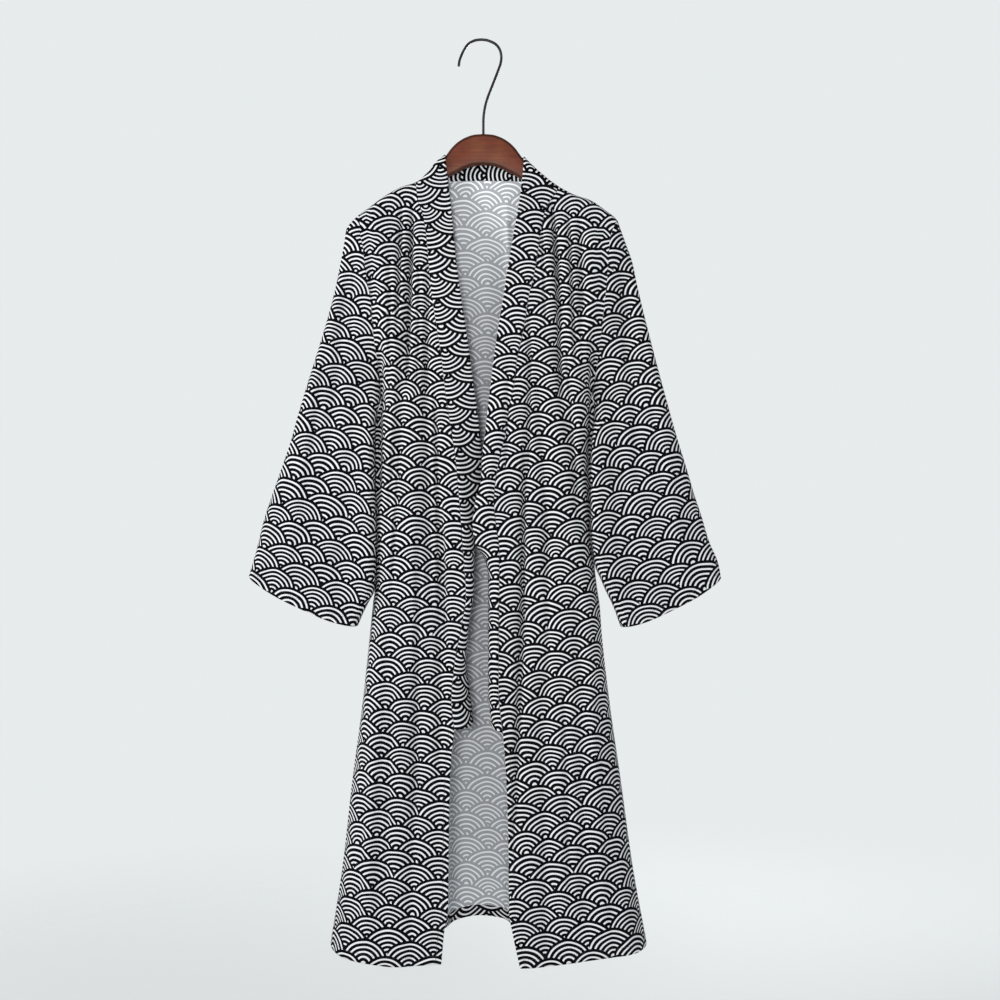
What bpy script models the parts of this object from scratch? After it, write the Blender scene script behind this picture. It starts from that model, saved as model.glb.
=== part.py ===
"""A cotton yukata robe hanging on a wooden hanger.

The origin is the inside of the hook's crown, where the hanger hangs. +X is the wearer's left, -Y is
the front and +Z is up. "Down" is the distance below the origin, and tables give it in millimetres.

The cloth hangs as two curtains, a front one and a back one. Each has a depth, its distance from the
hanger's plane, which closes to nothing along the shoulders, the sleeves' outer folds and the body's
side folds. The pieces are cut from these curtains along the seams.
"""

import bmesh
import bpy
import numpy as np
from mathutils import Matrix

MM = 0.001

CLOTH_WALL = 1.4 * MM
COLLAR_WALL = 2.4 * MM  # the band is folded double
SEAM_GAP = 0.6 * MM  # between the middles of two walls that are sewn edge to edge
BAND_GAP = 1.0 * MM  # the same at the thicker band
UNDERARM_GAP = 2.2 * MM  # where a sleeve's wall and the body's lie side by side
SHOULDER_ROUND = 9 * MM  # how far down a shoulder the cloth rounds over the hanger's arm
FULLY_OPEN = 0.9  # share of the curtains' depth at which an armhole's seam lies flat
ARMHOLE_ROUND = 25 * MM  # how far in from an armhole the curtain reaches its full depth

HOOK_AXIS_X = 2 * MM
HOOK_WIRE_RADIUS = 2 * MM
HOOK_SEAT_DEPTH = 14 * MM
HOOK_HOLE_CLEARANCE = 0.4 * MM
HANGER_THICKNESS = 12 * MM
HANGER_EDGE_ROUND = 4.5 * MM
HANGER_SHARP_EDGE = 1.0  # edges that turn by more than this angle, in radians, are rounded

# The cloth's grids are close where it bends sharply, at the shoulders and the folds, and even
# elsewhere. Distances down are along the panel, and shares are of a row's width from a fold.
PANEL_LENGTH = 1140 * MM
NEAR_SHOULDER = np.array([0, 1.2, 3, 5.5, 9, 15, 24, 38]) * MM
FRONT_NEAR_FOLD = (0, 0.012, 0.04, 0.085, 0.15)
BACK_NEAR_FOLD = (0, 0.006, 0.02, 0.045, 0.08, 0.12, 0.165)
SLEEVE_NEAR_FOLD = (0, 0.02, 0.07, 0.15)
SLEEVE_NEAR_SEAM = (0.03, 0.1)
PANEL_ROWS = 21
FRONT_CELLS = 11
SLEEVE_CELLS = 8
SLEEVE_ROWS = 15
BAND_CELLS = 5
BAND_SPACING = 30 * MM
SAME_POINT = 0.05 * MM  # points of a sleeve's grid that lie this close at its folds are one

FRONT, BACK = -1, 1
WEARERS_RIGHT, WEARERS_LEFT = "wearer's right", "wearer's left"


def table(names, *rows):
    """A table in millimetres: its named columns, in metres. A column of shares is kept as it is."""
    columns = np.array(rows, float).T
    return {
        name: column * (1 if name.endswith("share") else MM)
        for name, column in zip(names.split(), columns)
    }


def smooth(at, along, values):
    """Values between a table's rows, read from a curve that has no corners and never overshoots."""
    step = np.diff(along)
    slope = np.diff(values) / step
    product = slope[1:] * slope[:-1]
    total = slope[1:] + slope[:-1]
    inner = np.where(product > 0, 2 * product / np.where(product > 0, total, 1), 0)
    tangent = np.concatenate([slope[:1], inner, slope[-1:]])
    at = np.clip(at, along[0], along[-1])
    i = np.clip(np.searchsorted(along, at, side="right") - 1, 0, len(step) - 1)
    t = (at - along[i]) / step[i]
    start = values[i] * (1 + 2 * t) * (1 - t) ** 2 + tangent[i] * step[i] * t * (1 - t) ** 2
    end = values[i + 1] * t**2 * (3 - 2 * t) + tangent[i + 1] * step[i] * t**2 * (t - 1)
    return start + end


def between(a, b, t):
    return a + (b - a) * t


def fade(t):
    """From 0 to 1 with no corner at either end."""
    t = np.clip(t, 0, 1)
    return t * t * (3 - 2 * t)


def rounded(t):
    """A quarter circle's height: 0 at its edge, 1 from one radius in."""
    return np.sqrt(1 - (1 - np.clip(t, 0, 1)) ** 2)


# The curtains' depth at each height: the front one's and the back one's.
CURTAINS = table(
    "down front back",
    (138, 9.2, 9.2),
    (211, 10, 10),
    (240, 14, 12),
    (330, 26, 20),
    (500, 36, 28),
    (700, 46, 36),
    (900, 54, 42),
    (1100, 62, 50),
    (1370, 70, 58),
)

# The top edge of the cloth from shoulder point to shoulder point; it runs over the collar's band
# at each side of the neck, and across the neck it stays above all cloth.
TOP_LINE = table(
    "x down",
    (-204, 283.5),
    (-193, 270),
    (-182, 260.5),
    (-167, 249.5),
    (-152, 237.5),
    (-136, 227.5),
    (-121, 219.5),
    (-99, 212.5),
    (-89, 205.5),
    (-80, 195),
    (-67, 180),
    (-55.5, 170.5),
    (-46, 160),
    (-37, 151),
    (-25, 142),
    (2, 137),
    (29, 142),
    (41, 149),
    (52, 160),
    (63, 173.5),
    (75, 186),
    (94, 203),
    (113, 217.5),
    (139, 231.5),
    (162, 239.5),
    (184, 254.5),
    (202, 269.5),
    (209, 284),
)

# Where each armhole's seam runs, and the share of the curtains' depth that it stands open by.
ARMHOLES = {
    WEARERS_RIGHT: table(
        "down x open_share",
        (260.5, -182, 0.9),
        (292, -181, 0.9),
        (311, -177, 0.85),
        (362, -171, 0.8),
        (385, -166, 0.78),
        (436, -162, 0.72),
        (495, -154, 0.5),
        (520, -152, 0.3),
        (540, -151, 0),
    ),
    WEARERS_LEFT: table(
        "down x open_share",
        (269.5, 202, 0.9),
        (302, 190, 0.9),
        (350, 187, 0.83),
        (397, 182, 0.78),
        (451, 176, 0.7),
        (495, 170, 0.48),
        (515, 167, 0.28),
        (532, 164, 0),
    ),
}

# The body's side folds, from underarm to hem: where they run, how far behind the hanger's plane
# they lie, and the radius that rounds the curtains into them.
SIDE_FOLDS = {
    WEARERS_RIGHT: table(
        "down x set_back radius",
        (540, -151, 0, 30),
        (550, -152.3, 1.5, 30),
        (565, -154, 4, 30),
        (583, -155.5, 7, 30),
        (658, -159, 10, 30),
        (732, -160, 10, 30),
        (793, -160, 9, 30),
        (826, -161, 8, 30),
        (841, -163, 6, 31),
        (873, -166, 3, 32),
        (888, -167.5, 2, 32),
        (988, -178, 0, 36),
        (1110, -194, 0, 40),
        (1233, -208, 0, 44),
        (1349, -226, 0, 48),
    ),
    WEARERS_LEFT: table(
        "down x set_back radius",
        (532, 164, 0, 30),
        (542, 164.8, 1.5, 30),
        (557, 165.5, 4, 30),
        (580, 165, 7, 30),
        (608, 163.5, 9, 30),
        (694, 163, 10, 30),
        (730, 164, 10, 30),
        (760, 166, 9, 30),
        (790, 169, 7, 30),
        (817, 172, 5, 30),
        (849, 176.5, 3, 31),
        (886, 179, 1.5, 32),
        (988, 190.5, 0, 36),
        (1110, 208, 0, 40),
        (1233, 225, 0, 44),
        (1349, 246, 0, 48),
    ),
}

# A front panel's inner edge: along the collar's seam, then its own hemmed edge down to the corner.
FRONT_EDGES = {
    WEARERS_RIGHT: table(
        "down x",
        (212.5, -99),
        (222, -98),
        (231, -97),
        (246, -94),
        (264, -88),
        (292, -83),
        (335, -79),
        (385, -74),
        (437, -66),
        (482, -59),
        (526, -54),
        (604, -42),
        (631, -38),
        (755, -28),
        (830, -23),
        (866, -28),
        (932, -40),
        (984, -44),
        (1024, -40),
        (1067, -44),
        (1155, -47),
        (1277, -48),
        (1317, -54),
        (1362, -58),
    ),
    WEARERS_LEFT: table(
        "down x",
        (217.5, 113),
        (227, 112),
        (235, 107),
        (247, 99),
        (266, 92),
        (300, 86),
        (335, 81),
        (357, 77),
        (385, 70),
        (436, 62),
        (482, 52),
        (516, 48),
        (556, 40),
        (587, 36),
        (624, 27),
        (663, 20),
        (691, 18),
        (725, 21),
        (762, 26),
        (969, 25),
        (1028, 31),
        (1096, 36),
        (1184, 39),
        (1286, 40),
        (1322, 46),
        (1368, 56),
    ),
}

HEMS = {
    FRONT: table(
        "x down",
        (-226, 1349),
        (-219, 1352),
        (-181, 1359),
        (-121, 1366),
        (-58, 1362),
        (56, 1368),
        (141, 1360),
        (180, 1354),
        (220, 1350),
        (246, 1349),
    ),
    BACK: table(
        "x down",
        (-226, 1349),
        (-150, 1343),
        (-70, 1337),
        (-45, 1334),
        (-5, 1328),
        (35, 1332),
        (70, 1337),
        (160, 1343),
        (246, 1349),
    ),
}

# The seam that joins the back panel to the collar.
NECK_SEAM = table(
    "x down",
    (-99, 212.5),
    (-93, 213),
    (-80, 211),
    (-60, 209),
    (0, 208),
    (60, 209),
    (88, 211.5),
    (104, 217),
    (113, 217.5),
)

# A sleeve's outer fold, from shoulder point to cuff, and its seam, from underarm to cuff, with how
# far before the hanger's plane that seam hangs.
SLEEVE_FOLDS = {
    WEARERS_RIGHT: table(
        "down x",
        (260.5, -182.6),
        (269, -192),
        (283, -203),
        (302, -206),
        (324, -210),
        (378, -221),
        (568, -277),
        (598, -285),
        (651, -303),
        (716, -325),
        (764, -337),
        (802, -348),
    ),
    WEARERS_LEFT: table(
        "down x",
        (269.5, 202.6),
        (283, 207.5),
        (309, 217),
        (332, 225),
        (370, 233),
        (568, 284),
        (606, 295),
        (638, 305),
        (682, 318),
        (712, 328),
        (749, 339),
        (783, 353),
        (804, 357),
    ),
}
SLEEVE_SEAMS = {
    WEARERS_RIGHT: table(
        "down x set_forward",
        (540, -151, 0),
        (550, -154.6, 3),
        (565, -157.5, 10),
        (583, -159, 16),
        (658, -158.5, 22),
        (734, -156, 25),
        (790, -156.5, 24),
        (822, -159, 22),
        (838, -167, 21),
        (858, -177, 20),
        (875, -184, 20),
    ),
    WEARERS_LEFT: table(
        "down x set_forward",
        (532, 164, 0),
        (542, 167.2, 3),
        (557, 167.6, 10),
        (580, 165, 16),
        (608, 162, 20),
        (694, 161, 25),
        (730, 161.5, 25),
        (760, 163.5, 26),
        (780, 166, 24),
        (790, 169, 24),
        (807, 177, 23),
        (819, 182, 22),
        (846, 195, 21),
        (876, 206, 20),
    ),
}
# A sleeve's half depth along it, as the down of its seam's edge.
SLEEVE_DEPTH = table("down half", (260, 9.5), (330, 13), (500, 16), (700, 18), (876, 20))
SLEEVE_OUTER_RADIUS = 12 * MM
SLEEVE_INNER_RADIUS = 9 * MM
SLEEVE_SEAM_BLEND = 40 * MM
UNDERARM_BLEND = 20 * MM
SLEEVE_OUTER_SET_FORWARD = 5 * MM
CUFF_BULGE = 12 * MM  # how far a cuff's middle hangs below the line between its ends

# The collar's band below the shoulders, from its seam to its free edge: how far the free edge is
# turned back into the robe, and how far the band's middle rolls out past the line between them.
COLLAR_FRONTS = {
    WEARERS_RIGHT: table(
        "seam_down free_x free_down turned_back roll",
        (214, -55.2, 172.5, 0, 0),
        (217, -54.8, 176, 0, 0),
        (222, -54, 184, 0, 0),
        (231, -52, 200, 0, 0),
        (246, -49.5, 222, 0, 0),
        (264, -46, 248, 0, 0),
        (292, -42.5, 286, 1, 0),
        (335, -38, 333, 2, 0),
        (385, -31, 385, 3, 0),
        (437, -23, 437, 3, 0),
        (482, -17, 482, 4, 0),
        (526, -11, 526, 6, 0),
        (562, -6, 562, 8, 0),
        (604, -2, 604, 11, 0),
        (631, 0, 631, 14, 0),
        (690, 0, 690, 22, 2),
        (755, -10, 755, 38, 5),
        (800, -15, 800, 41, 7),
        (830, -19, 830, 42, 8),
        (866, -26, 866, 43, 8),
        (900, -27, 900, 42, 8),
        (932, -24, 932, 40, 6),
        (984, -17, 984, 34, 4),
        (1024, -13, 1020, 34, 4),
    ),
    WEARERS_LEFT: table(
        "seam_down free_x free_down turned_back roll",
        (219, 62.8, 175.5, 0, 0),
        (222, 62.5, 179, 0, 0),
        (227, 62, 187, 0, 0),
        (235, 61, 200, 0, 0),
        (247, 58.5, 220, 0, 0),
        (266, 55, 247, 0, 0),
        (300, 47, 293, 1, 0),
        (335, 40.5, 333, 2, 0),
        (357, 36.5, 356, 2, 0),
        (385, 32.5, 385, 3, 0),
        (436, 24, 436, 4, 0),
        (482, 17.5, 482, 5, 0),
        (516, 13.5, 516, 6, 0),
        (556, 8.7, 556, 9, 0),
        (587, 5.5, 587, 9, 0),
        (624, 1, 624, 8, 0),
        (663, -1, 663, 8, 0),
        (691, -9, 691, 6, 0),
        (725, -13, 725, 4, 0),
        (750, -10, 750, 8, 1),
        (775, 4, 775, 30, 4),
        (800, 11, 800, 42, 6),
        (900, 11, 900, 42, 6),
        (969, 11, 969, 42, 6),
        (1028, 16, 1018, 40, 6),
    ),
}
# Round the back of the neck the band stands up from its seam.
COLLAR_NECK = table(
    "seam_x free_x free_down",
    (-98.7, -55.5, 170.7),
    (-97, -54, 171.2),
    (-94, -51, 171),
    (-82, -44, 168),
    (-60, -33, 164),
    (-35, -18, 161),
    (2, 2, 160),
    (40, 23, 161),
    (65, 41, 165),
    (90, 53, 171),
    (106, 60, 173.6),
    (110, 62, 174),
    (112.7, 63, 173.7),
)
OVERLAP = table("down forward back", (560, 0, 0), (610, 4, 4), (700, 4, 6), (765, 0, 2), (800, 0, 0))
TOP_BOW_FADE = 25 * MM  # below the top line by this much, the band's rungs are straight again

# The largest folds: each follows a line of three points, and pushes the curtain towards the
# hanger's plane by its depth, or away from it where that is negative. They fade at both ends.
FOLD_COLUMNS = "x0 down0 x1 down1 x2 down2 width depth"
FOLDS = {
    FRONT: table(
        FOLD_COLUMNS,
        (-103, 235, -109, 350, -116, 500, 8, 6),
        (-167, 270, -161, 420, -152, 640, 9, 8),
        (-135, 300, -134, 420, -130, 560, 14, -4),
        (-116, 400, -126, 590, -146, 800, 9, 7),
        (-84, 400, -80, 600, -72, 900, 10, 7),
        (-100, 560, -100, 760, -98, 1000, 16, -5),
        (-61, 700, -60, 900, -62, 1150, 9, 7),
        (-130, 760, -142, 1000, -150, 1400, 16, 7),
        (-96, 900, -100, 1150, -102, 1420, 14, 6),
        (-185, 900, -186, 1100, -192, 1420, 15, 5),
        (102, 235, 114, 351, 121, 500, 8, 7),
        (139, 260, 146, 400, 152, 560, 10, 6),
        (100, 400, 124, 560, 148, 760, 9, 7),
        (78, 440, 92, 640, 100, 840, 12, 6),
        (60, 600, 60, 780, 48, 1120, 8, 8),
        (88, 840, 92, 1050, 96, 1420, 14, 6),
        (140, 700, 146, 950, 152, 1420, 16, 7),
        (178, 860, 190, 1080, 202, 1420, 14, 5),
    ),
    BACK: table(
        FOLD_COLUMNS,
        (-120, 240, -112, 400, -104, 620, 12, 6),
        (-160, 300, -150, 450, -140, 700, 10, 6),
        (-62, 230, -66, 420, -72, 760, 14, 5),
        (2, 230, 2, 420, 0, 640, 24, 5),
        (70, 230, 78, 420, 82, 720, 14, 6),
        (124, 240, 122, 420, 112, 650, 12, 6),
        (168, 310, 158, 470, 148, 720, 10, 6),
        (-30, 520, -36, 800, -40, 1150, 16, 7),
        (34, 560, 38, 830, 40, 1180, 14, 6),
        (-104, 600, -120, 900, -142, 1420, 18, 10),
        (106, 620, 122, 920, 150, 1420, 18, 10),
        (-58, 620, -55, 1050, -53, 1560, 15, 42),
        (50, 640, 48, 1050, 46, 1560, 15, 40),
        (-176, 850, -186, 1100, -196, 1420, 14, 7),
        (176, 850, 192, 1100, 208, 1420, 14, 7),
    ),
}
SLEEVE_CREASES = {
    FRONT: table(
        FOLD_COLUMNS,
        (-196, 300, -210, 460, -236, 700, 14, 5),
        (-180, 470, -196, 640, -214, 900, 15, 4),
        (-240, 460, -268, 640, -300, 860, 16, -4),
        (212, 310, 222, 470, 236, 720, 14, 5),
        (190, 470, 206, 640, 232, 900, 15, 4),
        (250, 460, 276, 640, 306, 860, 16, -4),
    ),
    BACK: table(
        FOLD_COLUMNS,
        (-192, 300, -206, 480, -228, 760, 14, 6),
        (-226, 420, -262, 640, -296, 880, 18, 5),
        (204, 310, 214, 480, 232, 760, 14, 6),
        (236, 420, 270, 640, 304, 880, 18, 5),
    ),
}
FOLD_FADE = 0.3  # share of a fold's length that it fades over at each end

# The hanger's upper and lower edges, out from the hook's axis; both arms are alike.
HANGER = table(
    "out top bottom",
    (0, 140, 186),
    (13, 141, 187),
    (26, 145, 191),
    (38, 152, 197),
    (48, 161.5, 202),
    (58, 175, 208),
    (70, 187, 215),
    (82, 201, 222),
    (94, 213, 231),
    (106, 218.8, 238),
    (120, 224.9, 246),
    (137, 232.9, 255),
    (154, 239.3, 264),
    (168, 250.6, 272),
    (184, 262.3, 281),
)
HANGER_TIP = table("out down", (192, 269.5), (196, 277), (194, 284))

HOOK_WIRE = table(
    "x down",
    (-35, 38),
    (-34, 31),
    (-31, 22),
    (-26, 12),
    (-21, 5),
    (-15, 1),
    (-8, -1.4),
    (-1, -2),
    (6, -1.4),
    (13, 0.8),
    (20, 4.5),
    (25, 10),
    (28, 17),
    (29, 25),
    (28, 33),
    (24, 45),
    (19, 58),
    (13.5, 72),
    (8.5, 85),
    (5, 97),
    (3, 108),
    (2, 120),
    (2, 136),
)


def column(rows, name, down):
    return smooth(down, rows["down"], rows[name])


def body_edge(side, down):
    """The curtains' outer edge at the body, armhole above and side fold below: its x, how wide it
    stands open, how far it is set back, and the radius that rounds the curtains into it."""
    hole, fold = ARMHOLES[side], SIDE_FOLDS[side]
    above = down <= hole["down"][-1]
    x = np.where(above, column(hole, "x", down), column(fold, "x", down))
    is_open = np.where(above, column(hole, "open_share", down), 0)
    set_back = np.where(above, 0, column(fold, "set_back", down))
    radius = np.where(above, ARMHOLE_ROUND, column(fold, "radius", down))
    return x, is_open, set_back, radius


def top_line(x):
    return smooth(x, TOP_LINE["x"], TOP_LINE["down"])


def fold_depth(folds, x, down):
    """How far a table's folds push the curtain in at a point."""
    pushed = np.zeros(np.broadcast(x, down).shape)
    for i in range(len(folds["x0"])):
        f = {name: values[i] for name, values in folds.items()}
        t = (down - f["down0"]) / (f["down2"] - f["down0"])
        middle = (f["down1"] - f["down0"]) / (f["down2"] - f["down0"])
        bend = (f["x1"] - f["x0"] - (f["x2"] - f["x0"]) * middle) / (middle * (1 - middle))
        at = f["x0"] + (f["x2"] - f["x0"]) * t + bend * t * (1 - t)
        strength = fade(t / FOLD_FADE) * fade((1 - t) / FOLD_FADE)
        pushed = pushed + f["depth"] * strength / (1 + ((x - at) / f["width"]) ** 2) ** 2
    return pushed


def curtain_depth(face, x, down):
    name = "front" if face == FRONT else "back"
    return column(CURTAINS, name, down) - fold_depth(FOLDS[face], x, down)


def body_y(face, side, x, down):
    """Where the body's front or back curtain stands."""
    edge_x, is_open, set_back, radius = body_edge(side, down)
    inside = np.abs(edge_x - x)
    gentle = fade(is_open / FULLY_OPEN)
    rise = between(rounded(inside / radius), fade(inside / radius), gentle)
    filled = is_open + (1 - is_open) * rise
    filled = filled * rounded((down - top_line(x)) / SHOULDER_ROUND)
    return face * (SEAM_GAP / 3 + curtain_depth(face, x, down) * filled) + set_back * (1 - filled)


def patch(top, bottom, left, right, across, along):
    """The points of a four-sided patch, from four edges that are functions of a share of their
    length and that give (x, down)."""
    u, v = np.meshgrid(across, along)
    u, v = u[..., None], v[..., None]

    def edge(line, shares):
        return np.stack([line(share) for share in shares])

    upper, lower = edge(top, across)[None], edge(bottom, across)[None]
    start, end = edge(left, along)[:, None], edge(right, along)[:, None]
    corners = between(between(upper[:, :1], upper[:, -1:], u), between(lower[:, :1], lower[:, -1:], u), v)
    return between(upper, lower, v) + between(start, end, u) - corners


def point(x, down):
    return np.array([float(x), float(down)])


def panel_rows():
    """Shares of a panel's height: close together where it rounds over the hanger, then even."""
    rest = np.linspace(NEAR_SHOULDER[-1], PANEL_LENGTH, PANEL_ROWS + 1)[1:]
    return np.concatenate([NEAR_SHOULDER, rest]) / PANEL_LENGTH


def to_fold(cells, near_fold):
    """Shares of a width from 0 to 1: even cells at first, then close together at a fold."""
    last = 1 - np.array(near_fold)[::-1]
    return np.concatenate([np.linspace(0, last[0], cells + 1)[:-1], last])


def sewn_edge(side, down, inward):
    """A body panel's outer edge: half a seam's gap inside the armhole, and on the side fold."""
    x, is_open = body_edge(side, down)[:2]
    return point(x + inward * SEAM_GAP / 2 * min(1, 5 * is_open), down)


def front_panel(side):
    """One front panel's points, from the collar's edge out and from the shoulder down."""
    inward = 1 if side == WEARERS_RIGHT else -1
    inner, hem = FRONT_EDGES[side], HEMS[FRONT]
    hole, fold = ARMHOLES[side], SIDE_FOLDS[side]
    neck, shoulder = point(inner["x"][0], inner["down"][0]), point(hole["x"][0], hole["down"][0])
    corner, hem_side = point(inner["x"][-1], inner["down"][-1]), point(fold["x"][-1], fold["down"][-1])

    def top(u):
        x = between(neck[0], shoulder[0], u)
        return point(x, top_line(x))

    def bottom(u):
        x = between(corner[0], hem_side[0], u)
        return point(x, smooth(x, hem["x"], hem["down"]))

    def inner_edge(v):
        down = between(neck[1], corner[1], v)
        return point(column(inner, "x", down) - inward * SEAM_GAP / 2, down)

    def outer_edge(v):
        return sewn_edge(side, between(shoulder[1], hem_side[1], v), inward)

    spread = patch(top, bottom, inner_edge, outer_edge, to_fold(FRONT_CELLS, FRONT_NEAR_FOLD), panel_rows())
    x, down = spread[..., 0], spread[..., 1]
    y = body_y(FRONT, side, x, down)
    return np.stack([x, y, -down], axis=-1)


def back_panel():
    """The back panel's points, from the wearer's right to the left and from the top down."""
    shoulders = [ARMHOLES[side]["x"][0] for side in (WEARERS_RIGHT, WEARERS_LEFT)]
    corners = [SIDE_FOLDS[side]["x"][-1] for side in (WEARERS_RIGHT, WEARERS_LEFT)]
    hem = HEMS[BACK]

    def top(u):
        x = between(*shoulders, u)
        in_neck = NECK_SEAM["x"][0] < x < NECK_SEAM["x"][-1]
        seam = smooth(x, NECK_SEAM["x"], NECK_SEAM["down"]) + SEAM_GAP / 2
        return point(x, seam if in_neck else top_line(x))

    def bottom(u):
        x = between(*corners, u)
        return point(x, smooth(x, hem["x"], hem["down"]))

    def edge(side, inward):
        first, last = ARMHOLES[side]["down"][0], SIDE_FOLDS[side]["down"][-1]
        return lambda v: sewn_edge(side, between(first, last, v), inward)

    neck_x = np.delete(COLLAR_NECK["seam_x"], (1, -2))
    at_neck = (neck_x - shoulders[0]) / (shoulders[1] - shoulders[0])
    near_fold = np.array(BACK_NEAR_FOLD)
    across = np.concatenate([near_fold, at_neck, 1 - near_fold[::-1]])
    right_edge, left_edge = edge(WEARERS_RIGHT, 1), edge(WEARERS_LEFT, -1)
    spread = patch(top, bottom, right_edge, left_edge, across, panel_rows())
    x, down = spread[..., 0], spread[..., 1]
    y_right, y_left = (body_y(BACK, side, x, down) for side in (WEARERS_RIGHT, WEARERS_LEFT))
    y = np.where(x < 0, y_right, y_left)
    return np.stack([x, y, -down], axis=-1)


def on_edge(edge, down):
    """The x and y of a panel's edge, a line of points that runs down, at some height."""
    return [np.interp(down, -edge[:, 2], edge[:, axis]) for axis in (0, 1)]


def sleeve(side, front_edge, back_edge):
    """A sleeve's points, sewn to the edges of the front and the back panel: each row runs from the
    front seam out to the fold and round to the back seam."""
    outward = -1 if side == WEARERS_RIGHT else 1
    hole, seam, fold = ARMHOLES[side], SLEEVE_SEAMS[side], SLEEVE_FOLDS[side]
    underarm, cuff = hole["down"][-1], seam["down"][-1]
    first = hole["down"][0] + SHOULDER_ROUND
    panel_downs = -front_edge[:, 2]
    along_hole = panel_downs[(panel_downs > first) & (panel_downs < underarm + SEAM_GAP)]
    below = np.linspace(max(along_hole[-1], underarm), cuff, SLEEVE_ROWS + 1)[1:]
    downs = np.concatenate([along_hole, below])
    even = to_fold(SLEEVE_CELLS, SLEEVE_NEAR_FOLD)
    near_seam = even.copy()
    near_seam[1:3] = SLEEVE_NEAR_SEAM
    rows = []
    for down_in in downs:
        share = (down_in - downs[0]) / (cuff - downs[0])
        down_out = between(fold["down"][0], fold["down"][-1], share)
        sewn = down_in > underarm
        is_open = 0 if sewn else body_edge(side, down_in)[1]
        gentle = fade(is_open / FULLY_OPEN)
        out = between(near_seam, even, gentle)
        side_by_side = 1 - fade((down_in - underarm) / UNDERARM_BLEND) if sewn else 1 - gentle
        gap = between(SEAM_GAP, UNDERARM_GAP, side_by_side)
        x_out = column(fold, "x", down_out)
        shift_in = column(seam, "set_forward", down_in) if sewn else 0
        halves = []
        for face, panel_edge in ((FRONT, front_edge), (BACK, back_edge)):
            x_panel, y_panel = on_edge(panel_edge, down_in)
            x_in = (column(seam, "x", down_in) if sewn else x_panel) + outward * gap
            x, down = between(x_in, x_out, out), between(down_in, down_out, out)
            down = down + CUFF_BULGE * fade(share) * (1 - np.abs(2 * out - 1) ** 3)
            width = np.hypot(x_out - x_in, down_out - down_in)
            round_out = min(SLEEVE_OUTER_RADIUS, max(SHOULDER_ROUND, 0.35 * width))
            closing = rounded((1 - out) * width / round_out)
            opening = rounded(out * width / SLEEVE_INNER_RADIUS)
            swell = between(opening, fade(out * width / SLEEVE_SEAM_BLEND), gentle)
            at_seam = 0 if sewn else abs(y_panel)
            crease = fold_depth(SLEEVE_CREASES[face], x, down) * opening
            half = column(SLEEVE_DEPTH, "half", down_in)
            shift = between(shift_in, SLEEVE_OUTER_SET_FORWARD * share, out)
            y = face * (between(at_seam, half, swell) - crease) * closing - shift
            halves.append(np.stack([x, y, -down], axis=-1))
        rows.append(np.concatenate([halves[0], halves[1][::-1][1:]]))
    return np.array(rows)


def band_rung(side, face, seam, along, free_x, free_down, turned_back=0, roll=0):
    """The band's points across one place, from its seam to its free edge. The seam is a point and
    the direction it runs in, and the band starts beside it."""
    inward = 1 if side == WEARERS_RIGHT else -1
    square = np.array([-along[2], 0, along[0]]) / np.hypot(along[0], along[2])
    towards = square @ np.array([free_x - seam[0], 0, -free_down - seam[2]])
    start = seam + BAND_GAP * np.sign(towards) * square
    w = np.linspace(0, 1, BAND_CELLS + 1)
    x = between(start[0], free_x, w)
    bow = top_line(x) - between(top_line(start[0]), top_line(free_x), w)
    below = (-start[2] - top_line(start[0]) + free_down - top_line(free_x)) / 2
    down = between(-start[2], free_down, w) + bow * fade(1 - below / TOP_BOW_FADE)
    y = body_y(face, side, x, down)
    y = y + (start[1] - y[0]) * (1 - w) + turned_back * w**2
    if face == FRONT and side == WEARERS_LEFT:
        y = y - column(OVERLAP, "forward", down) * fade(2 * w)
    if face == FRONT and side == WEARERS_RIGHT:
        y = y + column(OVERLAP, "back", down) * fade(2 * w)
    return np.stack([x + inward * roll * 4 * w * (1 - w), y, -down], axis=-1)


def band_front(side, panel_edge):
    """The band down one front, from the shoulder to its end."""
    stations = COLLAR_FRONTS[side]
    first, last = stations["seam_down"][[0, -1]]
    panel_downs = -panel_edge[:, 2]
    met = panel_downs[(panel_downs > first) & (panel_downs < last)]
    stops = [first]
    for a, b in zip([first, *met], [*met, last]):
        count = max(1, int(np.ceil((b - a) / BAND_SPACING)))
        stops.extend(between(a, b, np.arange(1, count + 1) / count))
    rungs = []
    for down in stops:
        x, y = on_edge(panel_edge, down)
        before, after = on_edge(panel_edge, down - MM)[0], on_edge(panel_edge, down + MM)[0]
        rest = {
            name: smooth(down, stations["seam_down"], stations[name])
            for name in ("free_x", "free_down", "turned_back", "roll")
        }
        along = np.array([after - before, 0, -2 * MM])
        rungs.append(band_rung(side, FRONT, np.array([x, y, -down]), along, **rest))
    return rungs


def band_neck(top_edge):
    """The band round the back of the neck, from the wearer's right to the left."""
    rungs = []
    for x, free_x, free_down in zip(*COLLAR_NECK.values()):
        y, z = (np.interp(x, top_edge[:, 0], top_edge[:, axis]) for axis in (1, 2))
        before, after = (np.interp(x + step, top_edge[:, 0], top_edge[:, 2]) for step in (-MM, MM))
        along = np.array([2 * MM, 0, after - before])
        side = WEARERS_RIGHT if x < 0 else WEARERS_LEFT
        rungs.append(band_rung(side, BACK, np.array([x, y, z]), along, free_x, free_down))
    return rungs


def collar(front_edges, top_edge):
    """The band from its end on the wearer's right, up and round the neck, to its other end."""
    right = band_front(WEARERS_RIGHT, front_edges[WEARERS_RIGHT])
    left = band_front(WEARERS_LEFT, front_edges[WEARERS_LEFT])
    return np.array(right[::-1] + band_neck(top_edge) + left)


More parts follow.
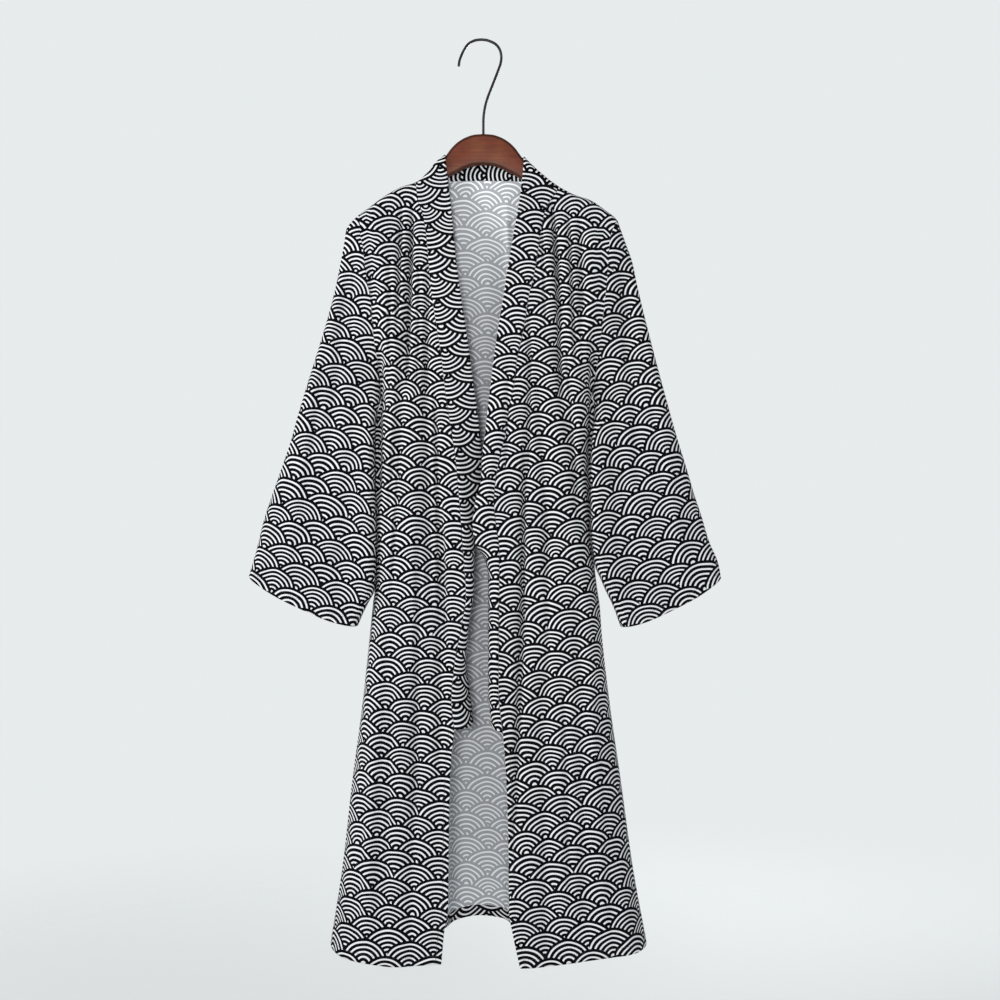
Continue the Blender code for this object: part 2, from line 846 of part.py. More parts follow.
def material(name, colour, roughness, metallic=0.0):
    made = bpy.data.materials.new(name)
    made.use_nodes = True
    shader = made.node_tree.nodes["Principled BSDF"]
    shader.inputs["Base Color"].default_value = (*colour, 1)
    shader.inputs["Roughness"].default_value = roughness
    shader.inputs["Metallic"].default_value = metallic
    made.diffuse_color = (*colour, 1)
    return made


def show(made, name, finish, collection):
    """Puts a mesh or a curve in the collection as a named object with its material."""
    made.materials.append(finish)
    placed = bpy.data.objects.new(name, made)
    collection.objects.link(placed)
    return placed


def cloth(name, rows, wall, finish, collection, merged=0.0):
    """A wall of cloth on a grid of points; grid points nearer than merged become one."""
    count, width = rows.shape[:2]
    shape = bmesh.new()
    grid = [[shape.verts.new(p) for p in row] for row in rows]
    for i in range(count - 1):
        for j in range(width - 1):
            shape.faces.new((grid[i][j], grid[i + 1][j], grid[i + 1][j + 1], grid[i][j + 1]))
    if merged:
        bmesh.ops.remove_doubles(shape, verts=shape.verts, dist=merged)
    bmesh.ops.recalc_face_normals(shape, faces=shape.faces)
    mesh = bpy.data.meshes.new(name)
    shape.to_mesh(mesh)
    shape.free()
    mesh.shade_smooth()
    placed = show(mesh, name, finish, collection)
    thicken = placed.modifiers.new("wall", "SOLIDIFY")
    thicken.thickness = wall
    thicken.offset = 0
    return placed


def build_cloth(collection):
    cotton = material("printed_cotton", (0.22, 0.22, 0.23), 0.85)
    band = material("collar_cotton", (0.2, 0.2, 0.21), 0.85)
    back = back_panel()
    fronts = {side: front_panel(side) for side in (WEARERS_RIGHT, WEARERS_LEFT)}
    sleeves = {
        WEARERS_RIGHT: sleeve(WEARERS_RIGHT, fronts[WEARERS_RIGHT][:, -1], back[:, 0]),
        WEARERS_LEFT: sleeve(WEARERS_LEFT, fronts[WEARERS_LEFT][:, -1], back[:, -1]),
    }
    inner_edges = {side: panel[:, 0] for side, panel in fronts.items()}
    cloth("back", back, CLOTH_WALL, cotton, collection)
    for side, end in ((WEARERS_RIGHT, "right"), (WEARERS_LEFT, "left")):
        cloth(f"front_{end}", fronts[side], CLOTH_WALL, cotton, collection)
        cloth(f"sleeve_{end}", sleeves[side], CLOTH_WALL, cotton, collection, merged=SAME_POINT)
    cloth("collar", collar(inner_edges, back[0]), COLLAR_WALL, band, collection)


def hanger_outline():
    """The hanger's outline, from the middle of its top round to the middle and back."""
    right_top = list(zip(HANGER["out"], HANGER["top"]))
    tip = list(zip(HANGER_TIP["out"], HANGER_TIP["down"]))
    right_bottom = list(zip(HANGER["out"], HANGER["bottom"]))[::-1]
    half = right_top + tip + right_bottom
    other = [(-out, down) for out, down in half[::-1] if out > 0]
    return [(HOOK_AXIS_X + out, -down) for out, down in half + other]


def build_hanger(collection, cutters):
    wood = material("stained_wood", (0.2, 0.05, 0.025), 0.35)
    outline = hanger_outline()
    shape = bmesh.new()
    face = shape.faces.new([shape.verts.new((x, -HANGER_THICKNESS / 2, z)) for x, z in outline])
    raised = bmesh.ops.extrude_face_region(shape, geom=[face])
    moved = [v for v in raised["geom"] if isinstance(v, bmesh.types.BMVert)]
    bmesh.ops.translate(shape, verts=moved, vec=(0, HANGER_THICKNESS, 0))
    bmesh.ops.recalc_face_normals(shape, faces=shape.faces)
    mesh = bpy.data.meshes.new("hanger_wood")
    shape.to_mesh(mesh)
    shape.free()
    board = show(mesh, "hanger_wood", wood, collection)
    eased = board.modifiers.new("eased edges", "BEVEL")
    eased.width = HANGER_EDGE_ROUND
    eased.segments = 3
    eased.limit_method = "ANGLE"
    eased.angle_limit = HANGER_SHARP_EDGE

    drill = bmesh.new()
    bmesh.ops.create_cone(
        drill,
        cap_ends=True,
        segments=16,
        radius1=HOOK_WIRE_RADIUS + HOOK_HOLE_CLEARANCE,
        radius2=HOOK_WIRE_RADIUS + HOOK_HOLE_CLEARANCE,
        depth=2 * HOOK_SEAT_DEPTH,
        matrix=Matrix.Translation((HOOK_AXIS_X, 0, -HANGER["top"][0])),
    )
    cutter_mesh = bpy.data.meshes.new("hook_hole")
    drill.to_mesh(cutter_mesh)
    drill.free()
    cutter = bpy.data.objects.new("hook_hole", cutter_mesh)
    cutter.hide_render = True
    cutter.display_type = "WIRE"
    cutters.objects.link(cutter)
    drilled = board.modifiers.new("hook hole", "BOOLEAN")
    drilled.operation = "DIFFERENCE"
    drilled.object = cutter


def build_hook(collection):
    steel = material("black_wire", (0.02, 0.02, 0.022), 0.4, 0.9)
    seat = HANGER["top"][0] + HOOK_SEAT_DEPTH - HOOK_HOLE_CLEARANCE
    points = list(zip(HOOK_WIRE["x"], HOOK_WIRE["down"])) + [(HOOK_AXIS_X, seat)]
    wire = bpy.data.curves.new("hanger_hook", "CURVE")
    wire.dimensions = "3D"
    wire.bevel_depth = HOOK_WIRE_RADIUS
    wire.bevel_resolution = 2
    wire.use_fill_caps = True
    line = wire.splines.new("POLY")
    line.points.add(len(points) - 1)
    for place, (x, down) in zip(line.points, points):
        place.co = (x, 0, -down, 1)
    show(wire, "hanger_hook", steel, collection)


def build():
    for old in list(bpy.data.objects):
        bpy.data.objects.remove(old, do_unlink=True)
    robe = bpy.data.collections.new("yukata_robe_on_hanger")
    cutters = bpy.data.collections.new("cutters")
    bpy.context.scene.collection.children.link(robe)
    bpy.context.scene.collection.children.link(cutters)
    build_cloth(robe)
    build_hanger(robe, cutters)
    build_hook(robe)


build()
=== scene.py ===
"""The looks of a cotton yukata robe on its wooden hanger.

The axes and tables are the model's: the origin is the inside of the hook's crown, +X is the wearer's
left, -Y is the front, +Z is up, and "down" is the distance below the origin. Each cloth piece is a
thin shell on the same curtains as its solid, with finer creases. The print is laid on each piece's
flat pattern.
"""
import math
from functools import partialmethod

import bmesh
import bpy
import numpy as np
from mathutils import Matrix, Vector


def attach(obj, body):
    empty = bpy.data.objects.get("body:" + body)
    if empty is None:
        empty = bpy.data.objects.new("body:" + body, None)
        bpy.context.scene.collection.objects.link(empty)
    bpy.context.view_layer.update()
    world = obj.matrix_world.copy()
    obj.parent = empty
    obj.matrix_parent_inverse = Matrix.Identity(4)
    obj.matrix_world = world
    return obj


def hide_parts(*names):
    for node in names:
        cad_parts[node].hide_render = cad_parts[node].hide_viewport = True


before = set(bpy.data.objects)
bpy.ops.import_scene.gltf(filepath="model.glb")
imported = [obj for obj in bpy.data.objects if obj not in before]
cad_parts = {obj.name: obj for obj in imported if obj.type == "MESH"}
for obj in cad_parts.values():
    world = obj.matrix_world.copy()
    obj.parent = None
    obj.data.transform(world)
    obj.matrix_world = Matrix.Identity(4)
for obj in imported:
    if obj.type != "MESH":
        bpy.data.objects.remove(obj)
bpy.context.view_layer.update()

MM = 0.001
TINY = 1e-12
FRONT, BACK = -1, 1
RIGHT, LEFT = SIDES = "right", "left"  # the wearer's
INWARD = {RIGHT: 1, LEFT: -1}  # along X
scene = bpy.context.scene

CLOTH_WALL = 0.6 * MM
COLLAR_WALL = 1.8 * MM  # the band is folded double
SEAM_GAP = 0.2 * MM  # between the middles of two walls that are sewn edge to edge
BAND_GAP = 0.4 * MM  # the same at the thicker band
CURTAIN_GAP = SEAM_GAP / 3  # from the middle to either curtain, where they close
UNDERARM_GAP = 0.9 * MM  # where a sleeve's wall and the body's lie side by side
SHOULDER_ROUND = 9 * MM  # how far down a shoulder the cloth rounds over the hanger's arm
FULLY_OPEN = 0.9  # share of the curtains' depth at which an armhole's seam lies flat
NEARLY_SHUT = 0.2  # the same, below which the gap along an armhole's seam closes
ARMHOLE_ROUND = 25 * MM  # how far in from an armhole the curtain reaches its full depth
NARROW_ROUND = 0.35  # share of a narrow sleeve's width that rounds into its fold

HOOK_AXIS_X = 2 * MM
HOOK_WIRE_RADIUS = 2 * MM
HOOK_SEAT_DEPTH = 13 * MM
HOOK_POINTS = 110
HANGER_THICKNESS = 12 * MM
HANGER_EDGE_ROUND = 4.5 * MM
HANGER_SHARP_EDGE = 1.0  # edges that turn by more than this angle, in radians, are rounded
HANGER_SPACING = 2 * MM  # between the points of its outline

# The cloth's grids are close where it bends sharply, at the shoulders and the folds, and even
# elsewhere. Distances down are along the panel, and shares are of a row's width from a fold.
PANEL_LENGTH = 1140 * MM
NEAR_SHOULDER = np.array([0, 0.4, 0.9, 1.6, 2.5, 3.6, 5, 6.6, 8.4, 10.5, 13, 16]) * MM
FRONT_NEAR_FOLD = (0, 0.002, 0.006, 0.012, 0.02, 0.03, 0.042, 0.056, 0.072, 0.09, 0.11)
BACK_NEAR_FOLD = np.array([0, 0.001, 0.003, 0.006, 0.01, 0.016, 0.023, 0.031, 0.04, 0.05, 0.062])
SLEEVE_NEAR_FOLD = (0, 0.003, 0.01, 0.02, 0.034, 0.05, 0.07, 0.095, 0.12)
SLEEVE_NEAR_SEAM = (0.006, 0.02)
PANEL_ROWS = 270
FRONT_CELLS = 84
BACK_CELLS = 132
NECK_RUNGS = 64
SLEEVE_CELLS = 46
SLEEVE_ROWS = 84
BAND_CELLS = 16
BAND_SPACING = 5 * MM
SAME_POINT = 0.02 * MM  # points of a grid that lie this close are one
SHORTEST_EDGE = 0.005 * MM

HEM_WALL = 0.5 * MM
HEM_LIFT = 0.75 * MM  # from the middle of the cloth to the middle of its turned-up hem
HEM_DEPTH = 13 * MM
EDGE_HEM_DEPTH = 9 * MM
EDGE_HEM_FROM = {RIGHT: 1026 * MM, LEFT: 1030 * MM}  # how far down a front's own edge starts
STITCH, STITCH_GAP = 2.2 * MM, 1.0 * MM
THREAD_RADIUS = 0.28 * MM
THREAD_RISE = THREAD_RADIUS / 3  # of a stitch's middle above the cloth
THREAD_SIDES = 5

# The gentle waviness of hung cotton: waves that sway. Lengths are those of one radian.
UPRIGHT_WAVES = dict(height=0.7 * MM, length=31 * MM, sway=3.1, sway_length=210 * MM)
LEVEL_WAVES = dict(height=0.45 * MM, length=58 * MM, sway=2.3, sway_length=64 * MM)
RIPPLES = dict(height=0.25 * MM, length=13 * MM, sway=2, sway_length=93 * MM)
LEVEL_WAVES_APART = 1.7  # how far they are shifted at the front and the back, in radians
RIPPLES_SLANT = 71 * MM

# The print. Its sizes are on the flat cloth.
HALF_PITCH = 33 * MM  # between a row's fans and the next row's, across
ROW_PITCH = 18.7 * MM
CENTRE_WANDER = (3.4 * MM, 7.2 * MM)  # across and up: each fan's centre is anywhere in this
OUTLINE = 4.1 * MM  # the dark edge outside a fan's outermost arc
ARC_HALF_WIDTH = 0.185  # share of the distance between arcs
ARC_SOFTNESS = 0.03  # the same, to each side of an arc's edge, over which it fades
DOME = 0.33  # the same, from a fan's centre to the middle of the first, filled arc
MANY_ARCS_FROM = 33 * MM  # a larger fan has five arcs outside its dome, and a smaller one four
FEW_ARCS = 4
PAST_LAST_ARC = 0.9  # the arcs' count stops this far past the last one's number, in the dark
HAND_DRAWN = 0.5 * MM  # about how far the print's lines wander
WANDERS = 42  # about how many times a metre they do

# The materials' colours and unevenness.
INK, UNDYED = (0.0015, 0.0015, 0.0025), (0.67, 0.68, 0.70)
# The wrong side's print is paler, and these colours are lighter still as painted light: they stand in for
# the light that comes through the thin cotton into the robe.
WRONG_SIDE_INK_PAINTED_LIGHTER, WRONG_SIDE_UNDYED_PAINTED_LIGHTER = (0.36, 0.37, 0.40), (0.86, 0.88, 0.90)
THREADS_FADE_FROM = 0.35  # of a noise that is 0.5 on average
PATCHES_DARKEN_FROM = 0.4  # the same
PATCH_STRENGTH, PATCH_SHADE = 0.25, 0.72
WEAVE_RADIAN = 0.9 * MM  # flat length of one radian of the woven waves
WAVE_NODE_TURN = 20  # radians for each unit, at a scale of 1
RUMPLE_HEIGHT = 5  # against the woven waves' height of 1
WOOD_COLOURS = (0.126, 0.022, 0.008), (0.162, 0.044, 0.014), (0.066, 0.016, 0.008)
GRAIN_STRETCH = (9, 60, 110)  # the grain is long across, along the hanger's arms

# How the print is laid on each piece's flat pattern.
PANEL_TURN = {RIGHT: -3, LEFT: 9.5}  # degrees that the print is turned anticlockwise by
SLEEVE_TURN = {RIGHT: -22, LEFT: 23}
BAND_PRINT_SHIFT = 7 * MM  # from the band's seam to the middle of a column of fans
BAND_HEADING_ROWS = 9  # rungs of the band over which its direction is evened
CLIMB_EVENED = 25  # columns of a grid over which their lengths are evened
EASED_LINES = (6, 8)  # every so many rows and columns of a panel's flat pattern are eased
EASING_ROUNDS = 1000
EASING_STEP = 1.5  # how far each round moves a point, as a share of what its neighbours ask


def table(names, *rows):
    """A table in millimetres: its named columns, in metres. A column of shares is kept as it is."""
    columns = np.array(rows, float).T
    return {
        name: column * (1 if name.endswith("share") else MM)
        for name, column in zip(names.split(), columns)
    }


def smooth(at, along, values):
    """Values between a table's rows, read from a curve that has no corners and never overshoots."""
    step = np.diff(along)
    slope = np.diff(values) / step
    product = slope[1:] * slope[:-1]
    total = slope[1:] + slope[:-1]
    inner = np.where(product > 0, 2 * product / np.where(product > 0, total, 1), 0)
    tangent = np.concatenate([slope[:1], inner, slope[-1:]])
    at = np.clip(at, along[0], along[-1])
    i = np.clip(np.searchsorted(along, at, side="right") - 1, 0, len(step) - 1)
    t = (at - along[i]) / step[i]
    start = values[i] * (1 + 2 * t) * (1 - t) ** 2 + tangent[i] * step[i] * t * (1 - t) ** 2
    end = values[i + 1] * t**2 * (3 - 2 * t) + tangent[i + 1] * step[i] * t**2 * (t - 1)
    return start + end


def between(a, b, share):
    return a + (b - a) * share


def fade(share):
    """From 0 to 1 with no corner at either end."""
    share = np.clip(share, 0, 1)
    return share * share * (3 - 2 * share)


def rounded(share):
    """A quarter circle's height: 0 at its edge, 1 from one radius in."""
    return np.sqrt(1 - (1 - np.clip(share, 0, 1)) ** 2)


# The curtains' depth at each height: the front one's and the back one's.
CURTAINS = table(
    "down front back",
    (138, 9.2, 9.2), (211, 10, 10), (240, 14, 12), (330, 26, 20), (500, 36, 28), (700, 46, 36),
    (900, 54, 42), (1100, 62, 50), (1370, 70, 58),
)

# The top edge of the cloth from shoulder point to shoulder point; it runs over the collar's band
# at each side of the neck, and across the neck it stays above all cloth.
TOP_LINE = table(
    "x down",
    (-204, 283.5), (-193, 270), (-182, 260.5), (-167, 249.5), (-152, 237.5), (-136, 227.5),
    (-121, 219.5), (-99, 212.5), (-89, 205.5), (-80, 195), (-67, 180), (-55.5, 170.5), (-46, 160),
    (-37, 151), (-25, 142), (2, 137), (29, 142), (41, 149), (52, 160), (63, 173.5), (75, 186),
    (94, 203), (113, 217.5), (139, 231.5), (162, 239.5), (184, 254.5), (202, 269.5), (209, 284),
)

# Where each armhole's seam runs, and the share of the curtains' depth that it stands open by.
ARMHOLES = {
    RIGHT: table(
        "down x open_share",
        (260.5, -182, 0.9), (292, -181, 0.9), (311, -177, 0.85), (362, -171, 0.8), (385, -166, 0.78),
        (436, -162, 0.72), (495, -154, 0.5), (520, -152, 0.3), (540, -151, 0),
    ),
    LEFT: table(
        "down x open_share",
        (269.5, 202, 0.9), (302, 190, 0.9), (350, 187, 0.83), (397, 182, 0.78), (451, 176, 0.7),
        (495, 170, 0.48), (515, 167, 0.28), (532, 164, 0),
    ),
}

# The body's side folds, from underarm to hem: where they run, how far behind the hanger's plane
# they lie, and the radius that rounds the curtains into them.
SIDE_FOLDS = {
    RIGHT: table(
        "down x set_back radius",
        (540, -151, 0, 30), (550, -154.2, 1.5, 30), (565, -159, 4, 30), (583, -161, 7, 30),
        (658, -161.5, 10, 30), (732, -161, 10, 30), (793, -160, 9, 30), (826, -161, 8, 30),
        (841, -163, 6, 31), (873, -166, 3, 32), (888, -167.5, 2, 32), (988, -178, 0, 36),
        (1110, -194, 0, 40), (1233, -208, 0, 44), (1349, -226, 0, 48),
    ),
    LEFT: table(
        "down x set_back radius",
        (532, 164, 0, 30), (542, 166.8, 1.5, 30), (557, 169.2, 4, 30), (580, 168.2, 7, 30),
        (608, 165.6, 9, 30), (694, 164.5, 10, 30), (730, 164, 10, 30), (760, 166, 9, 30),
        (790, 169, 7, 30), (817, 172, 5, 30), (849, 176.5, 3, 31), (886, 179, 1.5, 32),
        (988, 190.5, 0, 36), (1110, 208, 0, 40), (1233, 225, 0, 44), (1349, 246, 0, 48),
    ),
}

# A front panel's inner edge: along the collar's seam, then its own hemmed edge down to the corner.
FRONT_EDGES = {
    RIGHT: table(
        "down x",
        (212.5, -99), (222, -98), (231, -97), (246, -94), (264, -88), (292, -83), (335, -79),
        (385, -74), (437, -66), (482, -59), (526, -54), (604, -42), (631, -38), (755, -28), (830, -23),
        (866, -28), (932, -40), (984, -44), (1024, -40), (1067, -44), (1155, -47), (1277, -48),
        (1317, -54), (1362, -58),
    ),
    LEFT: table(
        "down x",
        (217.5, 113), (227, 112), (235, 107), (247, 99), (266, 92), (300, 86), (335, 81), (357, 77),
        (385, 70), (436, 62), (482, 52), (516, 48), (556, 40), (587, 36), (624, 27), (663, 20),
        (691, 18), (725, 21), (762, 26), (969, 25), (1028, 31), (1096, 36), (1184, 39), (1286, 40),
        (1322, 46), (1368, 56),
    ),
}

HEMS = {
    FRONT: table(
        "x down",
        (-226, 1349), (-219, 1352), (-181, 1359), (-121, 1366), (-58, 1362), (56, 1368), (141, 1360),
        (180, 1354), (220, 1350), (246, 1349),
    ),
    BACK: table(
        "x down",
        (-226, 1349), (-150, 1343), (-70, 1337), (-45, 1334), (-5, 1328), (35, 1332), (70, 1337),
        (160, 1343), (246, 1349),
    ),
}

# The seam that joins the back panel to the collar.
NECK_SEAM = table(
    "x down",
    (-99, 212.5), (-93, 213), (-80, 211), (-60, 209), (0, 208), (60, 209), (88, 211.5), (104, 217),
    (113, 217.5),
)

# A sleeve's outer fold, from shoulder point to cuff, and its seam, from underarm to cuff, with how
# far before the hanger's plane that seam hangs.
SLEEVE_FOLDS = {
    RIGHT: table(
        "down x",
        (260.5, -182.6), (269, -192), (283, -203), (302, -206), (324, -210), (378, -221), (568, -277),
        (598, -285), (651, -303), (716, -325), (764, -337), (802, -348),
    ),
    LEFT: table(
        "down x",
        (269.5, 202.6), (283, 207.5), (309, 217), (332, 225), (370, 233), (568, 284), (606, 295),
        (638, 305), (682, 318), (712, 328), (749, 339), (783, 353), (804, 357),
    ),
}
SLEEVE_SEAMS = {
    RIGHT: table(
        "down x set_forward",
        (540, -151, 0), (550, -154.6, 3), (565, -157.5, 10), (583, -159, 16), (658, -158.5, 22),
        (734, -156, 25), (790, -156.5, 24), (822, -159, 22), (838, -167, 21), (858, -177, 20),
        (875, -184, 20),
    ),
    LEFT: table(
        "down x set_forward",
        (532, 164, 0), (542, 167.2, 3), (557, 167.6, 10), (580, 165, 16), (608, 162, 20),
        (694, 161, 25), (730, 161.5, 25), (760, 163.5, 26), (780, 166, 24), (790, 169, 24),
        (807, 177, 23), (819, 182, 22), (846, 195, 21), (876, 206, 20),
    ),
}
# A sleeve's half depth along it, as the down of its seam's edge.
SLEEVE_DEPTH = table("down half", (260, 9.5), (330, 13), (500, 16), (700, 18), (876, 20))
SLEEVE_OUTER_RADIUS = 12 * MM  # that rounds it into its fold, and the next one into its seam
SLEEVE_INNER_RADIUS = 9 * MM
SLEEVE_SEAM_BLEND = 40 * MM  # out from an open armhole, where it reaches its own depth
UNDERARM_BLEND = 20 * MM  # below the underarm, where the gap at its seam is narrow again
SLEEVE_OUTER_SET_FORWARD = 5 * MM  # of its fold, at the cuff
CUFF_BULGE = 12 * MM  # how far a cuff's middle hangs below the line between its ends

# The collar's band below the shoulders, from its seam to its free edge: how far the free edge is
# turned back into the robe, and how far the band's middle rolls out past the line between them.
COLLAR_FRONTS = {
    RIGHT: table(
        "seam_down free_x free_down turned_back roll",
        (214, -55.2, 172.5, 0, 0), (217, -54.8, 176, 0, 0), (222, -54, 184, 0, 0),
        (231, -52, 200, 0, 0), (246, -49.5, 222, 0, 0), (264, -46, 248, 0, 0), (292, -42.5, 286, 1, 0),
        (335, -38, 333, 2, 0), (385, -31, 385, 3, 0), (437, -23, 437, 3, 0), (482, -17, 482, 4, 0),
        (526, -11, 526, 6, 0), (562, -6, 562, 8, 0), (604, -2, 604, 11, 0), (631, 0, 631, 14, 0),
        (690, 0, 690, 22, 2), (755, -10, 755, 38, 5), (800, -15, 800, 41, 7), (830, -19, 830, 42, 8),
        (866, -26, 866, 43, 8), (900, -27, 900, 42, 8), (932, -24, 932, 40, 6), (984, -17, 984, 34, 4),
        (1024, -13, 1020, 34, 4),
    ),
    LEFT: table(
        "seam_down free_x free_down turned_back roll",
        (219, 62.8, 175.5, 0, 0), (222, 62.5, 179, 0, 0), (227, 62, 187, 0, 0), (235, 61, 200, 0, 0),
        (247, 58.5, 220, 0, 0), (266, 55, 247, 0, 0), (300, 47, 293, 1, 0), (335, 40.5, 333, 2, 0),
        (357, 36.5, 356, 2, 0), (385, 32.5, 385, 3, 0), (436, 24, 436, 4, 0), (482, 17.5, 482, 5, 0),
        (516, 13.5, 516, 6, 0), (556, 8.7, 556, 9, 0), (587, 5.5, 587, 9, 0), (624, 1, 624, 8, 0),
        (663, -1, 663, 8, 0), (691, -9, 691, 6, 0), (725, -13, 725, 4, 0), (750, -10, 750, 8, 1),
        (775, 4, 775, 30, 4), (800, 11, 800, 42, 6), (900, 11, 900, 42, 6), (969, 11, 969, 42, 6),
        (1028, 16, 1018, 40, 6),
    ),
}
# Round the back of the neck the band stands up from its seam.
COLLAR_NECK = table(
    "seam_x free_x free_down",
    (-98.7, -55.5, 170.7), (-97, -54, 171.2), (-94, -51, 171), (-82, -44, 168), (-60, -33, 164),
    (-35, -18, 161), (2, 2, 160), (40, 23, 161), (65, 41, 165), (90, 53, 171), (106, 60, 173.6),
    (110, 62, 174), (112.7, 63, 173.7),
)
OVERLAP = table("down forward back", (560, 0, 0), (610, 4, 4), (700, 4, 6), (765, 0, 2), (800, 0, 0))
TOP_BOW_FADE = 25 * MM  # below the top line by this much, the band's rungs are straight again

# The folds and creases: each follows a line of three points, and pushes the curtain towards the
# hanger's plane by its depth, or away from it where that is negative. They fade at both ends.
FOLD_COLUMNS = "x0 down0 x1 down1 x2 down2 width depth"
FOLDS = {
    FRONT: table(
        FOLD_COLUMNS,
        (-103, 235, -109, 350, -116, 500, 8, 6),
        (-167, 270, -161, 420, -152, 640, 9, 8),
        (-135, 300, -134, 420, -130, 560, 14, -4),
        (-116, 400, -126, 590, -146, 800, 9, 7),
        (-84, 400, -80, 600, -72, 900, 10, 7),
        (-100, 560, -100, 760, -98, 1000, 16, -5),
        (-61, 700, -60, 900, -62, 1150, 9, 7),
        (-130, 760, -142, 1000, -150, 1400, 16, 7),
        (-96, 900, -100, 1150, -102, 1420, 14, 6),
        (-185, 900, -186, 1100, -192, 1420, 15, 5),
        (102, 235, 114, 351, 121, 500, 8, 7),
        (139, 260, 146, 400, 152, 560, 10, 6),
        (100, 400, 124, 560, 148, 760, 9, 7),
        (78, 440, 92, 640, 100, 840, 12, 6),
        (60, 600, 60, 780, 48, 1120, 8, 8),
        (88, 840, 92, 1050, 96, 1420, 14, 6),
        (140, 700, 146, 950, 152, 1420, 16, 7),
        (178, 860, 190, 1080, 202, 1420, 14, 5),
        # Finer than the solids have.
        (-102, 222, -105, 330, -112, 560, 3.8, 13),
        (-118, 226, -121, 300, -127, 460, 4.2, 10),
        (-93, 300, -93, 400, -96, 560, 4, 4),
        (-79, 300, -80, 380, -84, 560, 5, 8),
        (-70, 480, -66, 640, -60, 880, 4.5, 9),
        (-62, 640, -56, 760, -52, 960, 4, 7),
        (-113, 470, -122, 640, -134, 860, 5, 7),
        (-137, 300, -136, 420, -138, 600, 6, 8),
        (-151, 430, -151, 570, -153, 720, 6.5, 28),
        (-92, 700, -94, 930, -98, 1250, 7, 6),
        (-128, 880, -134, 1080, -142, 1350, 7, 5),
        (-166, 1000, -174, 1160, -182, 1380, 8, 5),
        (104, 214, 110, 330, 117, 580, 3.8, 14),
        (88, 240, 92, 340, 96, 460, 4, 4),
        (146, 250, 148, 330, 150, 440, 6, 9),
        (128, 226, 132, 340, 140, 520, 4.2, 10),
        (164, 420, 163, 545, 158, 720, 6.5, 27),
        (70, 380, 70, 520, 66, 700, 4.5, 9),
        (64, 560, 61, 760, 58, 980, 4, 10),
        (57, 880, 54, 1010, 46, 1220, 5, 8),
        (40, 470, 38, 560, 36, 660, 4.5, 5),
        (122, 420, 132, 560, 142, 740, 5, 7),
        (92, 640, 96, 800, 98, 1040, 6, 5),
        (118, 900, 124, 1080, 130, 1330, 7, 5),
        (168, 900, 178, 1090, 192, 1370, 8, 5.5),
    ),
    BACK: table(
        FOLD_COLUMNS,
        (-120, 240, -112, 400, -104, 620, 12, 6),
        (-160, 300, -150, 450, -140, 700, 10, 6),
        (-62, 230, -66, 420, -72, 760, 14, 5),
        (2, 230, 2, 420, 0, 640, 24, 5),
        (70, 230, 78, 420, 82, 720, 14, 6),
        (124, 240, 122, 420, 112, 650, 12, 6),
        (168, 310, 158, 470, 148, 720, 10, 6),
        (-30, 520, -36, 800, -40, 1150, 16, 7),
        (34, 560, 38, 830, 40, 1180, 14, 6),
        (-104, 600, -120, 900, -142, 1420, 18, 10),
        (106, 620, 122, 920, 150, 1420, 18, 10),
        (-62, 620, -58, 1050, -57, 1560, 12, 44),
        (54, 640, 51, 1050, 50, 1560, 12, 42),
        (-176, 850, -186, 1100, -196, 1420, 14, 7),
        (176, 850, 192, 1100, 208, 1420, 14, 7),
        # Finer than the solids have.
        (-112, 225, -106, 330, -98, 540, 4.5, 7),
        (-84, 225, -86, 340, -92, 540, 5, 5),
        (-40, 215, -38, 360, -34, 560, 6, 4),
        (36, 215, 40, 340, 44, 520, 6, 4),
        (96, 225, 98, 350, 100, 580, 4.5, 6),
        (122, 235, 120, 350, 116, 540, 4.5, 6),
        (-132, 560, -140, 740, -150, 1000, 6, 6),
        (128, 560, 138, 740, 152, 1000, 6, 6),
        (-90, 820, -96, 1020, -104, 1320, 7, 5),
        (84, 820, 90, 1020, 100, 1320, 7, 5),
        (-10, 700, -8, 880, -4, 1140, 8, 4),
        (-196, 980, -204, 1130, -212, 1340, 7, 4),
        (200, 980, 212, 1130, 224, 1340, 7, 4),
    ),
}
SLEEVE_CREASES = {
    FRONT: table(
        FOLD_COLUMNS,
        (-196, 300, -210, 460, -236, 700, 14, 5),
        (-180, 470, -196, 640, -214, 900, 15, 4),
        (-240, 460, -268, 640, -300, 860, 16, -4),
        (212, 310, 222, 470, 236, 720, 14, 5),
        (190, 470, 206, 640, 232, 900, 15, 4),
        (250, 460, 276, 640, 306, 860, 16, -4),
        # Finer than the solids have.
        (-188, 290, -192, 380, -200, 520, 5, 2.5),
        (-184, 560, -190, 680, -200, 840, 6, 2.5),
        (-222, 380, -240, 520, -262, 700, 7, 2),
        (206, 320, 210, 400, 216, 520, 5, 2.5),
        (188, 560, 196, 680, 208, 840, 6, 2.5),
        (232, 380, 252, 540, 276, 720, 7, 2),
    ),
    BACK: table(
        FOLD_COLUMNS,
        (-192, 300, -206, 480, -228, 760, 14, 6),
        (-226, 420, -262, 640, -296, 880, 18, 5),
        (204, 310, 214, 480, 232, 760, 14, 6),
        (236, 420, 270, 640, 304, 880, 18, 5),
        # Finer than the solids have.
        (-196, 300, -204, 400, -214, 540, 5, 3),
        (-212, 560, -228, 680, -250, 850, 7, 2.5),
        (206, 310, 212, 400, 220, 540, 5, 3),
        (220, 560, 234, 680, 256, 850, 7, 2.5),
    ),
}
FOLD_FADE = 0.3  # share of a fold's length that it fades over at each end

# The hanger's upper and lower edges, out from the hook's axis; both arms are alike.
HANGER = table(
    "out top bottom",
    (0, 140, 186), (13, 141, 187), (26, 145, 191), (38, 152, 197), (48, 161.5, 202), (58, 175, 208),
    (70, 187, 215), (82, 201, 222), (94, 213, 231), (106, 218.8, 238), (120, 224.9, 246),
    (137, 232.9, 255), (154, 239.3, 264), (168, 250.6, 272), (184, 262.3, 281),
)
HANGER_TIP = table("out down", (192, 269.5), (196, 277), (194, 284))

